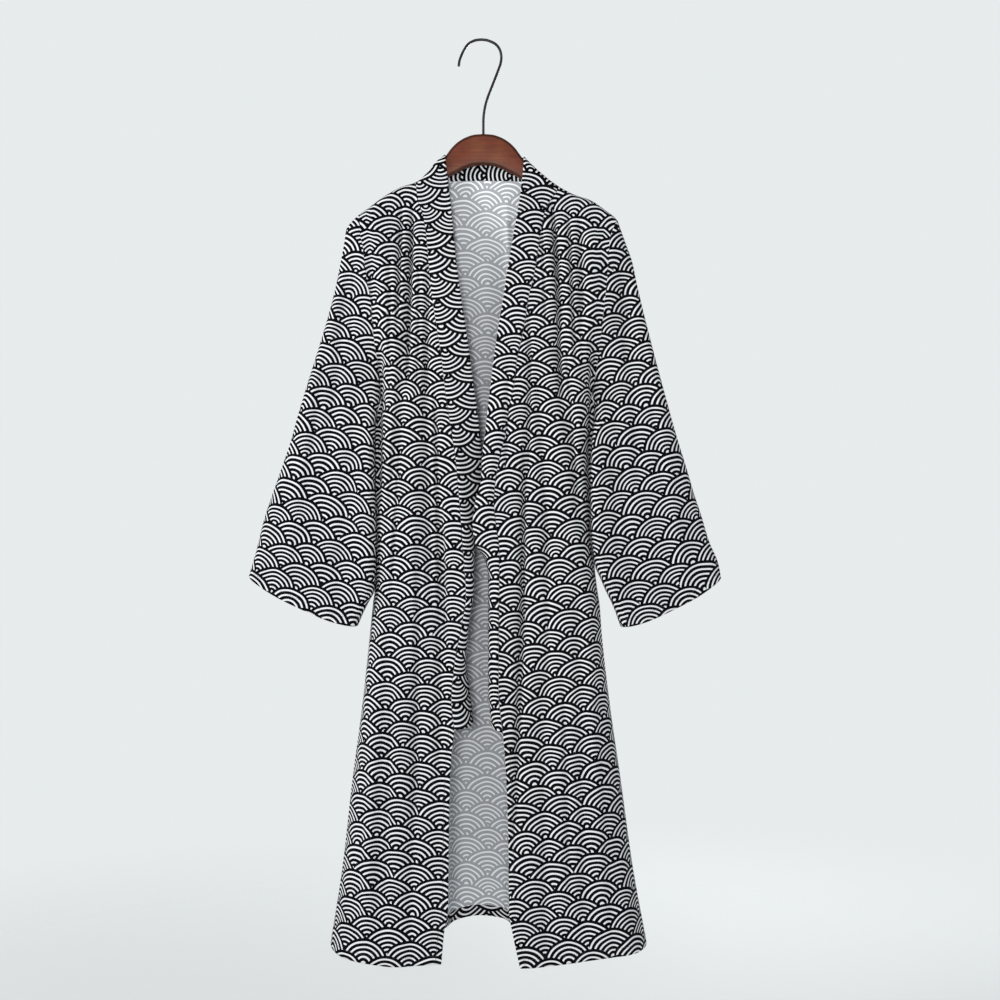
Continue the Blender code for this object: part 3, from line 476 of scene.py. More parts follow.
HOOK_WIRE = table(
    "x down",
    (-35, 38), (-34, 31), (-31, 22), (-26, 12), (-21, 5), (-15, 1), (-8, -1.4), (-1, -2), (6, -1.4),
    (13, 0.8), (20, 4.5), (25, 10), (28, 17), (29, 25), (28, 33), (24, 45), (19, 58), (13.5, 72),
    (8.5, 85), (5, 97), (3, 108), (2, 120), (2, 136),
)

# A stitch, from end to end: its thickness and how far it stands off the cloth.
STITCH_FORM = table(
    "along_share size_share rise_share",
    (0, 0.35, -0.6), (0.2, 0.9, 0.2), (0.5, 1, 0.5), (0.8, 0.9, 0.2), (1, 0.35, -0.6),
)


# ---- the cloth's shape ----


def column(rows, name, down):
    return smooth(down, rows["down"], rows[name])


def down_at(line, x):
    return smooth(x, line["x"], line["down"])


def station(stations, at):
    """A table's other columns, where its first one has a value."""
    first, *others = stations
    return {name: smooth(at, stations[first], stations[name]) for name in others}


def body_edge(side, down):
    """The curtains' outer edge at the body, armhole above and side fold below: its x, how wide it
    stands open, how far it is set back, and the radius that rounds the curtains into it."""
    hole, fold = ARMHOLES[side], SIDE_FOLDS[side]
    above = down <= hole["down"][-1]
    x = np.where(above, column(hole, "x", down), column(fold, "x", down))
    is_open = np.where(above, column(hole, "open_share", down), 0)
    set_back = np.where(above, 0, column(fold, "set_back", down))
    radius = np.where(above, ARMHOLE_ROUND, column(fold, "radius", down))
    return x, is_open, set_back, radius


def waves(along, across, shift, height, length, sway, sway_length):
    """The height of waves that run one way and sway along the other."""
    return height * np.sin(along / length + sway * np.sin(across / sway_length) + shift)


def unevenness(face, x, down):
    """The gentle waviness of hung cotton, away from any crease."""
    upright = waves(x, down, face, **UPRIGHT_WAVES)
    level = waves(down, x, LEVEL_WAVES_APART * face, **LEVEL_WAVES)
    return upright + level + waves(x, down, -down / RIPPLES_SLANT, **RIPPLES)


def fold_depth(folds, x, down):
    """How far a table's folds push the curtain in at a point."""
    pushed = np.zeros(np.broadcast(x, down).shape)
    for x0, down0, x1, down1, x2, down2, width, depth in zip(*folds.values()):
        share = (down - down0) / (down2 - down0)
        middle = (down1 - down0) / (down2 - down0)
        bend = (x1 - x0 - (x2 - x0) * middle) / (middle * (1 - middle))
        at = x0 + (x2 - x0) * share + bend * share * (1 - share)
        strength = fade(share / FOLD_FADE) * fade((1 - share) / FOLD_FADE)
        pushed = pushed + depth * strength / (1 + ((x - at) / width) ** 2) ** 2
    return pushed


def curtain_depth(face, x, down):
    """How far a curtain stands from the hanger's plane, away from its edges."""
    depth = column(CURTAINS, "front" if face == FRONT else "back", down)
    return depth - fold_depth(FOLDS[face], x, down) + unevenness(face, x, down)


def body_y(face, side, x, down):
    """Where the body's front or back curtain stands."""
    edge_x, is_open, set_back, radius = body_edge(side, down)
    from_edge = np.abs(edge_x - x) / radius
    rise = between(rounded(from_edge), fade(from_edge), fade(is_open / FULLY_OPEN))
    filled = is_open + (1 - is_open) * rise
    filled = filled * rounded((down - down_at(TOP_LINE, x)) / SHOULDER_ROUND)
    return face * (CURTAIN_GAP + curtain_depth(face, x, down) * filled) + set_back * (1 - filled)


def patch(top, bottom, start, end, across, along):
    """A four-sided patch: the x and down of each of its points, from those of its four edges. The
    points stand at shares across it, from start to end, and along it, from top to bottom."""
    along = along[:, None]
    upper, lower = np.array(top)[:, None], np.array(bottom)[:, None]
    first, last = np.array(start)[..., None], np.array(end)[..., None]
    corners = [between(line[..., :1], line[..., -1:], across) for line in (upper, lower)]
    return between(upper, lower, along) + between(first, last, across) - between(*corners, along)


def panel_rows():
    """Shares of a panel's height: close together where it rounds over the hanger, then even."""
    rest = np.linspace(NEAR_SHOULDER[-1], PANEL_LENGTH, PANEL_ROWS + 1)[1:]
    return np.concatenate([NEAR_SHOULDER, rest]) / PANEL_LENGTH


def to_fold(cells, near_fold):
    """Shares of a width from 0 to 1: even cells at first, then close together at a fold."""
    last = 1 - np.array(near_fold)[::-1]
    return np.concatenate([np.linspace(0, last[0], cells + 1)[:-1], last])


def sewn_edge(side, along):
    """A body panel's outer edge: half a seam's gap inside the armhole, and on the side fold."""
    down = between(ARMHOLES[side]["down"][0], SIDE_FOLDS[side]["down"][-1], along)
    x, is_open = body_edge(side, down)[:2]
    return x + INWARD[side] * SEAM_GAP / 2 * np.minimum(1, is_open / NEARLY_SHUT), down


def front_panel(side):
    """One front panel's points, from the collar's edge out and from the shoulder down."""
    inner, hole, fold = FRONT_EDGES[side], ARMHOLES[side], SIDE_FOLDS[side]
    across, along = to_fold(FRONT_CELLS, FRONT_NEAR_FOLD), panel_rows()
    top_x = between(inner["x"][0], hole["x"][0], across)
    hem_x = between(inner["x"][-1], fold["x"][-1], across)
    inner_down = between(inner["down"][0], inner["down"][-1], along)
    inner_x = column(inner, "x", inner_down) - INWARD[side] * SEAM_GAP / 2
    top, bottom = (top_x, down_at(TOP_LINE, top_x)), (hem_x, down_at(HEMS[FRONT], hem_x))
    x, down = patch(top, bottom, (inner_x, inner_down), sewn_edge(side, along), across, along)
    return np.stack([x, body_y(FRONT, side, x, down), -down], axis=-1)


def back_panel():
    """The back panel's points, from the wearer's right to the left and from the top down."""
    shoulders = [ARMHOLES[side]["x"][0] for side in SIDES]
    corners = [SIDE_FOLDS[side]["x"][-1] for side in SIDES]
    neck = NECK_SEAM["x"][[0, -1]]
    even = np.linspace(BACK_NEAR_FOLD[-1], 1 - BACK_NEAR_FOLD[-1], BACK_CELLS + 1)
    to_neck = (neck - shoulders[0]) / (shoulders[1] - shoulders[0])
    across = np.unique(np.concatenate([BACK_NEAR_FOLD, even, 1 - BACK_NEAR_FOLD, to_neck]))
    along = panel_rows()
    top_x, hem_x = between(*shoulders, across), between(*corners, across)
    in_neck = (top_x > neck[0]) & (top_x < neck[1])
    top_down = np.where(in_neck, down_at(NECK_SEAM, top_x) + SEAM_GAP / 2, down_at(TOP_LINE, top_x))
    edges = (sewn_edge(side, along) for side in SIDES)
    x, down = patch((top_x, top_down), (hem_x, down_at(HEMS[BACK], hem_x)), *edges, across, along)
    y_right, y_left = (body_y(BACK, side, x, down) for side in SIDES)
    return np.stack([x, np.where(x < 0, y_right, y_left), -down], axis=-1)


def on_edge(edge, down):
    """The x and y of a panel's edge, a line of points that runs down, at some height."""
    return [np.interp(down, -edge[:, 2], edge[:, axis]) for axis in (0, 1)]


def sleeve(side, front_edge, back_edge):
    """A sleeve's points, sewn to the edges of the front and the back panel: each row runs from the
    front seam out to the fold and round to the back seam."""
    hole, seam, fold = ARMHOLES[side], SLEEVE_SEAMS[side], SLEEVE_FOLDS[side]
    underarm, cuff = hole["down"][-1], seam["down"][-1]
    panel_down = -front_edge[:, 2]
    at_hole = (panel_down > hole["down"][0] + SHOULDER_ROUND) & (panel_down < underarm + SEAM_GAP)
    above = panel_down[at_hole]
    below = np.linspace(max(above[-1], underarm), cuff, SLEEVE_ROWS + 1)[1:]
    down_in = np.concatenate([above, below])[:, None]
    share = (down_in - down_in[0]) / (cuff - down_in[0])
    down_out = between(fold["down"][0], fold["down"][-1], share)
    x_out = column(fold, "x", down_out)
    is_closed = down_in > underarm
    gentle = fade(body_edge(side, down_in)[1] / FULLY_OPEN)
    side_by_side = 1 - gentle - fade((down_in - underarm) / UNDERARM_BLEND)
    gap = between(SEAM_GAP, UNDERARM_GAP, side_by_side)
    even = to_fold(SLEEVE_CELLS, SLEEVE_NEAR_FOLD)
    near_seam = np.concatenate([even[:1], SLEEVE_NEAR_SEAM, even[1 + len(SLEEVE_NEAR_SEAM) :]])
    out = between(near_seam, even, gentle)
    halves = []
    for face, panel_edge in ((FRONT, front_edge), (BACK, back_edge)):
        x_panel, y_panel = on_edge(panel_edge, down_in)
        x_in = np.where(is_closed, column(seam, "x", down_in), x_panel) - INWARD[side] * gap
        x, down = between(x_in, x_out, out), between(down_in, down_out, out)
        down = down + CUFF_BULGE * fade(share) * (1 - np.abs(2 * out - 1) ** 3)
        width = np.hypot(x_out - x_in, down_out - down_in)
        outer_radius = np.clip(NARROW_ROUND * width, SHOULDER_ROUND, SLEEVE_OUTER_RADIUS)
        closing = rounded((1 - out) * width / outer_radius)
        opening = rounded(out * width / SLEEVE_INNER_RADIUS)
        from_seam = fade(out * width / SLEEVE_SEAM_BLEND)
        creases = fold_depth(SLEEVE_CREASES[face], x, down)
        pushed = (creases - unevenness(face, x, down) * from_seam) * opening
        seam_y, middle_y = np.where(is_closed, 0, np.abs(y_panel)), column(SLEEVE_DEPTH, "half", down_in)
        swollen = between(seam_y, middle_y, between(opening, from_seam, gentle))
        set_forward = between(column(seam, "set_forward", down_in), SLEEVE_OUTER_SET_FORWARD * share, out)
        y = face * (swollen - pushed) * closing - set_forward
        halves.append(np.stack([x, y, -down], axis=-1))
    return np.concatenate([halves[0], halves[1][:, -2::-1]], axis=1)


def band_rung(side, face, seam, along, free_x, free_down, turned_back=0, roll=0):
    """The band's points across one place, from its seam to its free edge. The seam is a point and
    the direction it runs in, and the band starts beside it."""
    square = np.array([-along[2], 0, along[0]]) / np.hypot(along[0], along[2])
    towards = square @ np.array([free_x - seam[0], 0, -free_down - seam[2]])
    start_x, start_y, start_z = seam + BAND_GAP * np.sign(towards) * square
    share = np.linspace(0, 1, BAND_CELLS + 1)
    x = between(start_x, free_x, share)
    start_top, free_top = down_at(TOP_LINE, start_x), down_at(TOP_LINE, free_x)
    bow = down_at(TOP_LINE, x) - between(start_top, free_top, share)
    below = (-start_z - start_top + free_down - free_top) / 2
    down = between(-start_z, free_down, share) + bow * fade(1 - below / TOP_BOW_FADE)
    y = body_y(face, side, x, down)
    y = y + (start_y - y[0]) * (1 - share) + turned_back * share**2
    if face == FRONT:
        pushed_back = {RIGHT: column(OVERLAP, "back", down), LEFT: -column(OVERLAP, "forward", down)}
        y = y + pushed_back[side] * fade(2 * share)
    return np.stack([x + INWARD[side] * roll * 4 * share * (1 - share), y, -down], axis=-1)


def band_front(side, panel_edge):
    """The band down one front, from the shoulder to its end. It has a rung at each of the panel's
    rows, and more between them."""
    stations = COLLAR_FRONTS[side]
    first, last = stations["seam_down"][[0, -1]]
    panel_down = -panel_edge[:, 2]
    met = panel_down[(panel_down > first) & (panel_down < last)]
    stops = [first]
    for a, b in zip([first, *met], [*met, last]):
        count = max(1, int(np.ceil((b - a) / BAND_SPACING)))
        stops.extend(between(a, b, np.arange(1, count + 1) / count))
    rungs = []
    for down in stops:
        x, y = on_edge(panel_edge, down)
        before, after = (on_edge(panel_edge, down + step)[0] for step in (-MM, MM))
        along = np.array([after - before, 0, -2 * MM])
        seam = np.array([x, y, -down])
        rungs.append(band_rung(side, FRONT, seam, along, **station(stations, down)))
    return rungs


def band_neck(top_edge):
    """The band round the back of the neck, from the wearer's right to the left."""
    rungs = []
    for x in np.linspace(*COLLAR_NECK["seam_x"][[0, -1]], NECK_RUNGS):
        y, z = (np.interp(x, top_edge[:, 0], top_edge[:, axis]) for axis in (1, 2))
        before, after = (np.interp(x + step, top_edge[:, 0], top_edge[:, 2]) for step in (-MM, MM))
        along = np.array([2 * MM, 0, after - before])
        side = RIGHT if x < 0 else LEFT
        rungs.append(band_rung(side, BACK, np.array([x, y, z]), along, **station(COLLAR_NECK, x)))
    return rungs


def collar(front_edges, top_edge):
    """The band from its end on the wearer's right, up and round the neck, to its other end."""
    right, left = (band_front(side, front_edges[side]) for side in SIDES)
    return np.array(right[::-1] + band_neck(top_edge) + left)


# ---- the print and the materials ----


def connect(socket, value):
    """Set an input to a value, or join it to the output that gives its value."""
    if isinstance(value, Number):
        value = value.socket
    if isinstance(value, bpy.types.NodeSocket):
        socket.id_data.links.new(value, socket)
    elif socket.type == "RGBA":
        socket.default_value = (*value, 1)
    else:
        socket.default_value = value


def add_node(tree, kind, inputs=(), **settings):
    """A shader node with its settings, and its inputs by name or place."""
    node = tree.nodes.new("ShaderNode" + kind)
    for name, value in settings.items():
        setattr(node, name, value)
    for name, value in dict(inputs).items():
        connect(node.inputs[name], value)
    return node


class Number:
    """A number that a node tree works out at each point, with Python's arithmetic."""

    def __init__(self, socket):
        self.socket = socket

    def maths(self, operation, *others):
        values = enumerate((self, *others))
        node = add_node(self.socket.id_data, "Math", values, operation=operation)
        return Number(node.outputs[0])

    __add__ = partialmethod(maths, "ADD")
    __sub__ = partialmethod(maths, "SUBTRACT")
    __mul__ = partialmethod(maths, "MULTIPLY")
    __truediv__ = partialmethod(maths, "DIVIDE")
    __mod__ = partialmethod(maths, "FLOORED_MODULO")


def noise(tree, place, scale, detail, dimensions="3D"):
    """Soft unevenness round 0.5: about so many bumps a metre, with finer ones on them."""
    inputs = {"Vector": place, "Scale": scale, "Detail": detail}
    return Number(add_node(tree, "TexNoise", inputs, noise_dimensions=dimensions).outputs[0])


def ramp(tree, value, start, end, highest=1, kind="LINEAR"):
    """From 0 where a value is at its start to the highest where it is at its end."""
    inputs = {"Value": value, "From Min": start, "From Max": end, "To Max": highest}
    return Number(add_node(tree, "MapRange", inputs, interpolation_type=kind).outputs["Result"])


def mixed(tree, share, first, second):
    """A colour between two, each a socket or a colour."""
    return add_node(tree, "Mix", {0: share, 6: first, 7: second}, data_type="RGBA").outputs[2]


def object_place(tree):
    return add_node(tree, "TexCoord").outputs["Object"]


def flat_cloth(tree):
    """Where a point is on the flat cloth, in metres: the UV map's coordinates."""
    return add_node(tree, "UVMap", uv_map="cloth").outputs["UV"]


def fan_centre(tree, number, row):
    """How far a fan's centre lies from its place in the row, across and up."""
    where = add_node(tree, "CombineXYZ", {"X": number, "Y": row}).outputs[0]
    chance = add_node(tree, "TexWhiteNoise", {"Vector": where}, noise_dimensions="2D")
    parts = add_node(tree, "SeparateColor", {"Color": chance.outputs["Color"]}).outputs
    return [Number(part) * size - size / 2 for part, size in zip(parts, CENTRE_WANDER)]


def fan(tree, x, y, row):
    """Whether a point lies on the nearest fan of a row, and how many arcs out from its centre. A
    fan is a disc that reaches up to the centre of the one two rows above."""
    shifted = x - row % 2 * HALF_PITCH
    number = (shifted / (2 * HALF_PITCH)).maths("ROUND")
    right, up = fan_centre(tree, number, row)
    upper = fan_centre(tree, number, row + 2)[1]
    radius = upper - up + 2 * ROW_PITCH
    off_x = shifted - number * (2 * HALF_PITCH) - right
    off_y = y - row * ROW_PITCH - up
    away = (off_x * off_x + off_y * off_y).maths("SQRT")
    is_inside = away.maths("LESS_THAN", radius)
    printed = radius - OUTLINE
    arcs = printed.maths("GREATER_THAN", MANY_ARCS_FROM) + FEW_ARCS
    spacing = printed / (arcs + (DOME + ARC_HALF_WIDTH))
    out = (away / spacing).maths("MAXIMUM", DOME)
    return is_inside, out.maths("MINIMUM", arcs + PAST_LAST_ARC)


def wave_arcs():
    """A node group that gives 1 on the print's pale arcs and 0 on its dark ground: rows of fans,
    each row in front of the one above it."""
    tree = bpy.data.node_groups.new("wave arcs", "ShaderNodeTree")
    tree.interface.new_socket("Arc", in_out="OUTPUT", socket_type="NodeSocketFloat")
    flat = flat_cloth(tree)
    inputs = {"Vector": flat, "Scale": WANDERS, "Detail": 0}
    wander = add_node(tree, "TexNoise", inputs, noise_dimensions="2D").outputs["Color"]
    pushed = add_node(tree, "SeparateColor", {"Color": wander}).outputs
    place = add_node(tree, "SeparateXYZ", {"Vector": flat}).outputs
    x, y = (
        Number(along) + (Number(push) * (4 * HAND_DRAWN) - 2 * HAND_DRAWN)
        for along, push in zip(place[:2], pushed[:2])
    )
    lowest = (y / ROW_PITCH).maths("FLOOR")
    found = fan(tree, x, y, lowest + 1)[1]
    for step in (0, -1, -2):
        is_inside, out = fan(tree, x, y, lowest + step)
        found = out * is_inside + (found - found * is_inside)
    from_arc = (found.maths("FRACT") - DOME).maths("ABSOLUTE")
    start, end = ARC_HALF_WIDTH + ARC_SOFTNESS, ARC_HALF_WIDTH - ARC_SOFTNESS
    result = tree.nodes.new("NodeGroupOutput")
    connect(result.inputs["Arc"], ramp(tree, from_arc, start, end, kind="SMOOTHSTEP"))
    return tree


def new_material(name, inputs):
    """A material, its node tree and its shader, with the shader's inputs by name."""
    made = bpy.data.materials.new(name)
    made.use_nodes = True
    shader = made.node_tree.nodes["Principled BSDF"]
    for socket, value in inputs.items():
        connect(shader.inputs[socket], value)
    return made, made.node_tree, shader


def roughen(tree, shader, height, strength, distance):
    bump = add_node(tree, "Bump", {"Height": height, "Strength": strength, "Distance": distance})
    connect(shader.inputs["Normal"], bump.outputs["Normal"])


def cotton(name, ground, arcs, fading):
    """Plain-woven cotton with the print in two colours. Fading is how much single threads take the
    colour halfway between them."""
    matt = {"Roughness": 0.92, "Specular IOR Level": 0.03, "Sheen Weight": 0.003, "Sheen Roughness": 0.7}
    made, tree, shader = new_material(name, matt)
    flat = flat_cloth(tree)
    is_arc = add_node(tree, "Group", node_tree=print_group).outputs["Arc"]
    threads = noise(tree, flat, scale=900, detail=2, dimensions="2D")
    patches = noise(tree, flat, scale=26, detail=2, dimensions="2D")
    rumples = noise(tree, flat, scale=55, detail=3, dimensions="2D")
    halfway = tuple((g + a) / 2 for g, a in zip(ground, arcs))
    darker = tuple(PATCH_SHADE * part for part in ground)
    printed = mixed(tree, is_arc, ground, arcs)
    worn = mixed(tree, (threads - THREADS_FADE_FROM) * fading, printed, halfway)
    is_dark = (patches - PATCHES_DARKEN_FROM) * PATCH_STRENGTH
    connect(shader.inputs["Base Color"], mixed(tree, is_dark, worn, darker))
    scale = 1 / (WAVE_NODE_TURN * WEAVE_RADIAN)
    woven = {"Vector": flat, "Scale": scale, "Distortion": 0.6, "Detail": 1}
    warp, weft = (
        Number(add_node(tree, "TexWave", woven, bands_direction=way).outputs["Fac"]) for way in "XY"
    )
    roughen(tree, shader, rumples * RUMPLE_HEIGHT + warp * weft, strength=0.35, distance=0.15 * MM)
    return made


def stained_wood(name, shade):
    """Red-brown stained wood with fine dark grain along the arms and a satin lacquer. Shade is the share
    of the stain's colour that is kept: below 1 the wood is darkened as painted shade."""
    lacquer = {"Specular IOR Level": 0.22, "Coat Weight": 0.05, "Coat Roughness": 0.25}
    made, tree, shader = new_material(name, lacquer)
    place = object_place(tree)
    stretched = add_node(tree, "Mapping", {"Vector": place, "Scale": GRAIN_STRETCH}).outputs[0]
    grain, broad = noise(tree, stretched, scale=3, detail=6), noise(tree, place, scale=26, detail=3)
    red, brown, dark = (tuple(shade * part for part in colour) for colour in WOOD_COLOURS)
    stain = mixed(tree, ramp(tree, broad, start=0.35, end=0.65), red, brown)
    lines = ramp(tree, grain, start=0.38, end=0.72, highest=0.7)
    connect(shader.inputs["Base Color"], mixed(tree, lines, stain, dark))
    connect(shader.inputs["Roughness"], grain * 0.18 + 0.34)
    roughen(tree, shader, grain, strength=0.2, distance=0.2 * MM)
    return made


def black_wire():
    """Steel wire with a thin black finish, a little uneven."""
    made, tree, shader = new_material("black_wire", {"Metallic": 0.85})
    spots = noise(tree, object_place(tree), scale=420, detail=4)
    black, worn = (0.010, 0.010, 0.011), (0.045, 0.043, 0.042)
    connect(shader.inputs["Base Color"], mixed(tree, spots, black, worn))
    connect(shader.inputs["Roughness"], spots * 0.25 + 0.22)
    return made


def sewing_thread():
    made, tree, shader = new_material("sewing_thread", {"Roughness": 0.7})
    fibres = noise(tree, object_place(tree), scale=2500, detail=2)
    dark, light = (0.012, 0.012, 0.015), (0.05, 0.05, 0.055)
    connect(shader.inputs["Base Color"], mixed(tree, fibres, dark, light))
    return made


print_group = wave_arcs()
outer_cotton = cotton("printed_cotton", INK, UNDYED, fading=0.02)
# Its colours are the wrong side's paler print plus painted light for the robe's inside.
inner_cotton = cotton("printed_cotton_wrong_side", WRONG_SIDE_INK_PAINTED_LIGHTER, WRONG_SIDE_UNDYED_PAINTED_LIGHTER, fading=0.15)
band_cotton = cotton("collar_cotton", INK, UNDYED, fading=0.02)
thread = sewing_thread()

# ---- the cloth on its flat pattern ----


def unit(vectors):
    return vectors / np.maximum(np.linalg.norm(vectors, axis=-1, keepdims=True), TINY)


def added_up(lengths, axis):
    return np.insert(np.cumsum(lengths, axis=axis), 0, 0, axis=axis)


def measured(points, axis=0):
    """How far along its line each point lies. A grid's lines run down it, or across on axis 1."""
    return added_up(np.linalg.norm(np.diff(points, axis=axis), axis=-1), axis)


def turned(places, angle):
    """Flat places under a print that is turned anticlockwise, seen from the front, by degrees."""
    cosine, sine = math.cos(math.radians(angle)), math.sin(math.radians(angle))
    x, up = places[..., 0], places[..., 1]
    return np.stack([x * cosine + up * sine, up * cosine - x * sine], axis=-1)


def evened(rows, count):
    """Each row's values averaged over a run of that many."""
    padded = np.pad(rows, ((0, 0), (count // 2, count // 2)), "edge")
    return np.stack([np.convolve(row, np.ones(count) / count, "valid") for row in padded])


def unrolled(rows):
    """Where a grid's points lie on the flat cloth: each row is laid out from its first point, and
    each column up from the hem, at their own lengths."""
    seen = rows[..., [0, 2]]
    heading = unit(seen[:, -1] - seen[:, 0])
    flat = seen[:, :1] + heading[:, None] * measured(rows, 1)[..., None]
    climb = np.linalg.norm(np.diff(rows[..., 1:], axis=0), axis=2)
    flat[:-1, :, 1] = flat[-1, :, 1] + np.cumsum(evened(climb, CLIMB_EVENED)[::-1], axis=0)[::-1]
    return flat


def unrolled_sleeve(rows):
    """The same for a sleeve, laid out from its outer fold: the front half, and the back half
    turned over about the fold."""
    half = rows.shape[1] // 2
    fold = rows[:, half][:, [0, 2]]
    along_fold = unit(fold[-1] - fold[0])
    flats = []
    for part, is_turned_over in ((rows[:, half::-1], False), (rows[:, half:], True)):
        heading = unit(part[:, -1][:, [0, 2]] - fold)
        if is_turned_over:
            heading = 2 * (heading @ along_fold)[:, None] * along_fold - heading
        flats.append(fold[:, None] + heading[:, None] * measured(part, 1)[..., None])
    return np.concatenate([flats[0][:, ::-1], flats[1][:, 1:]], axis=1)


def unrolled_band(rows):
    """The band as one straight strip: out from its seam towards its free edge, and along its middle
    line, with its first rung at the top."""
    middle = rows.shape[1] // 2
    line = rows[:, middle]
    heading = unit(evened(np.gradient(line, axis=0).T, BAND_HEADING_ROWS).T)
    move = np.diff(rows, axis=1)
    on = np.einsum("rwk,rk->rw", move, heading)
    out = np.sqrt(np.maximum(np.linalg.norm(move, axis=2) ** 2 - on**2, 0))
    on, out = added_up(on, 1), added_up(out, 1)
    up = on[:, middle : middle + 1] - measured(line)[:, None] - on
    return np.stack([out - BAND_PRINT_SHIFT, up], axis=-1)


def settled(rows, flat, every=EASED_LINES):
    """Flat places eased, round after round, until each is as far from its neighbours as it is along
    the form, as nearly as can be: what cloth does where it is sewn round a neck. Only some of the
    grid's rows and columns are eased, by the two numbers in every, and the others follow them."""
    lines = [np.append(np.arange(0, n - 1, step), n - 1) for n, step in zip(flat.shape, every)]
    chosen = np.ix_(*lines)
    start = flat[chosen]
    down_steps, across_steps = (np.diff(measured(rows, axis)[chosen], axis=axis) for axis in (0, 1))
    down_chords, across_chords = (np.diff(rows[chosen], axis=axis) for axis in (0, 1))
    down, across = (down_steps[:, :-1] + down_steps[:, 1:]) / 2, (across_steps[:-1] + across_steps[1:]) / 2
    sides = down_chords[:, :-1] + down_chords[:, 1:], across_chords[:-1] + across_chords[1:]
    square = np.prod([np.linalg.norm(side, axis=2) for side in sides], axis=0)
    slant = 2 * down * across * (sides[0] * sides[1]).sum(axis=2) / square
    diagonals = [np.sqrt(down**2 + across**2 + way * slant) for way in (1, -1)]
    whole, first, last = slice(None), slice(None, -1), slice(1, None)
    ties = [
        ((first, whole), (last, whole), down_steps),
        ((whole, first), (whole, last), across_steps),
        ((first, first), (last, last), diagonals[0]),
        ((first, last), (last, first), diagonals[1]),
    ]
    ties_at = np.zeros((*start.shape[:2], 1))
    for a, b, _ in ties:
        ties_at[a] += 1
        ties_at[b] += 1
    eased = start.copy()
    for _ in range(EASING_ROUNDS):
        move = np.zeros_like(eased)
        for a, b, length in ties:
            apart = eased[b] - eased[a]
            closer = (apart - unit(apart) * length[..., None]) / 2
            move[a] += closer
            move[b] -= closer
        eased += EASING_STEP * move / ties_at
    shift = eased - start
    for axis, line in enumerate(lines):
        everywhere = np.arange(flat.shape[axis])
        shift = np.apply_along_axis(lambda values: smooth(everywhere, line, values), axis, shift)
    return flat + shift


# ---- the pieces of cloth ----


def grid_normals(rows):
    """Unit normals at a grid's points."""
    return unit(np.cross(np.gradient(rows, axis=0), np.gradient(rows, axis=1)))


def add_object(name, data):
    placed = bpy.data.objects.new(name, data)
    scene.collection.objects.link(placed)
    return placed


def show(name, shape, finishes):
    """A mesh or curve with its materials, on the robe's one body."""
    for finish in finishes:
        shape.materials.append(finish)
    placed = add_object(name, shape)
    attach(placed, "root")
    return placed


def smooth_mesh(name, shape):
    """A smoothly shaded mesh made from a BMesh, which is freed."""
    mesh = bpy.data.meshes.new(name)
    shape.to_mesh(mesh)
    shape.free()
    mesh.shade_smooth()
    return mesh


def cloth(name, rows, flat, wall, finishes, outward):
    """A thin wall of cloth on a grid of points, with its flat places as a UV map. Outward is, for a
    face at some Y, above 0 where its outer side looks back, and below 0 where it looks forward.
    The finishes are the outer side's and the inner side's."""
    shape = bmesh.new()
    uv = shape.loops.layers.uv.new("cloth")
    grid = [[shape.verts.new(place) for place in row] for row in rows]
    for row in range(len(rows) - 1):
        for cell in range(rows.shape[1] - 1):
            corners = ((row, cell), (row + 1, cell), (row + 1, cell + 1), (row, cell + 1))
            face = shape.faces.new([grid[a][b] for a, b in corners])
            for loop, corner in zip(face.loops, corners):
                loop[uv].uv = flat[corner]
    bmesh.ops.remove_doubles(shape, verts=shape.verts, dist=SAME_POINT)
    bmesh.ops.dissolve_degenerate(shape, edges=shape.edges, dist=SHORTEST_EDGE)
    bmesh.ops.recalc_face_normals(shape, faces=shape.faces)
    faces_out = sum(
        face.normal.y * outward(face.calc_center_median().y) * face.calc_area() for face in shape.faces
    )
    if faces_out < 0:
        bmesh.ops.reverse_faces(shape, faces=shape.faces)
    placed = show(name, smooth_mesh(name, shape), finishes)
    thicken = placed.modifiers.new("wall", "SOLIDIFY")
    thicken.thickness = wall
    thicken.offset = 0
    thicken.material_offset = len(finishes) - 1
    thicken.material_offset_rim = 0
    return placed


def stitches(name, points, normals):
    """A row of stitches along a line of points with normals, as one mesh of small rounded dashes."""
    length = measured(points)
    turns = 2 * math.pi * np.arange(THREAD_SIDES) / THREAD_SIDES
    rings = len(STITCH_FORM["along_share"])
    verts, faces = [], []
    for start in np.arange(STITCH_GAP, length[-1] - STITCH, STITCH + STITCH_GAP):
        places = start + STITCH * STITCH_FORM["along_share"]
        centres = np.stack([np.interp(places, length, axis) for axis in points.T], axis=1)
        up = np.array([np.interp(start, length, axis) for axis in normals.T])
        side = unit(np.cross(unit(centres[-1] - centres[0]), up))
        base = len(verts)
        for centre, size, rise in zip(centres, STITCH_FORM["size_share"], STITCH_FORM["rise_share"]):
            for turn in turns:
                out = rise * up + size * (side * math.cos(turn) + up * math.sin(turn))
                verts.append(centre + THREAD_RADIUS * out)
        for ring in range(base, base + THREAD_SIDES * (rings - 1), THREAD_SIDES):
            for k in range(THREAD_SIDES):
                a, b = ring + k, ring + (k + 1) % THREAD_SIDES
                faces.append((a, b, b + THREAD_SIDES, a + THREAD_SIDES))
        faces.append(tuple(range(base, base + THREAD_SIDES))[::-1])
        faces.append(tuple(range(len(verts) - THREAD_SIDES, len(verts))))
    mesh = bpy.data.meshes.new(name)
    mesh.from_pydata([tuple(vert) for vert in verts], [], faces)
    mesh.shade_smooth()
    return show(name, mesh, [thread])


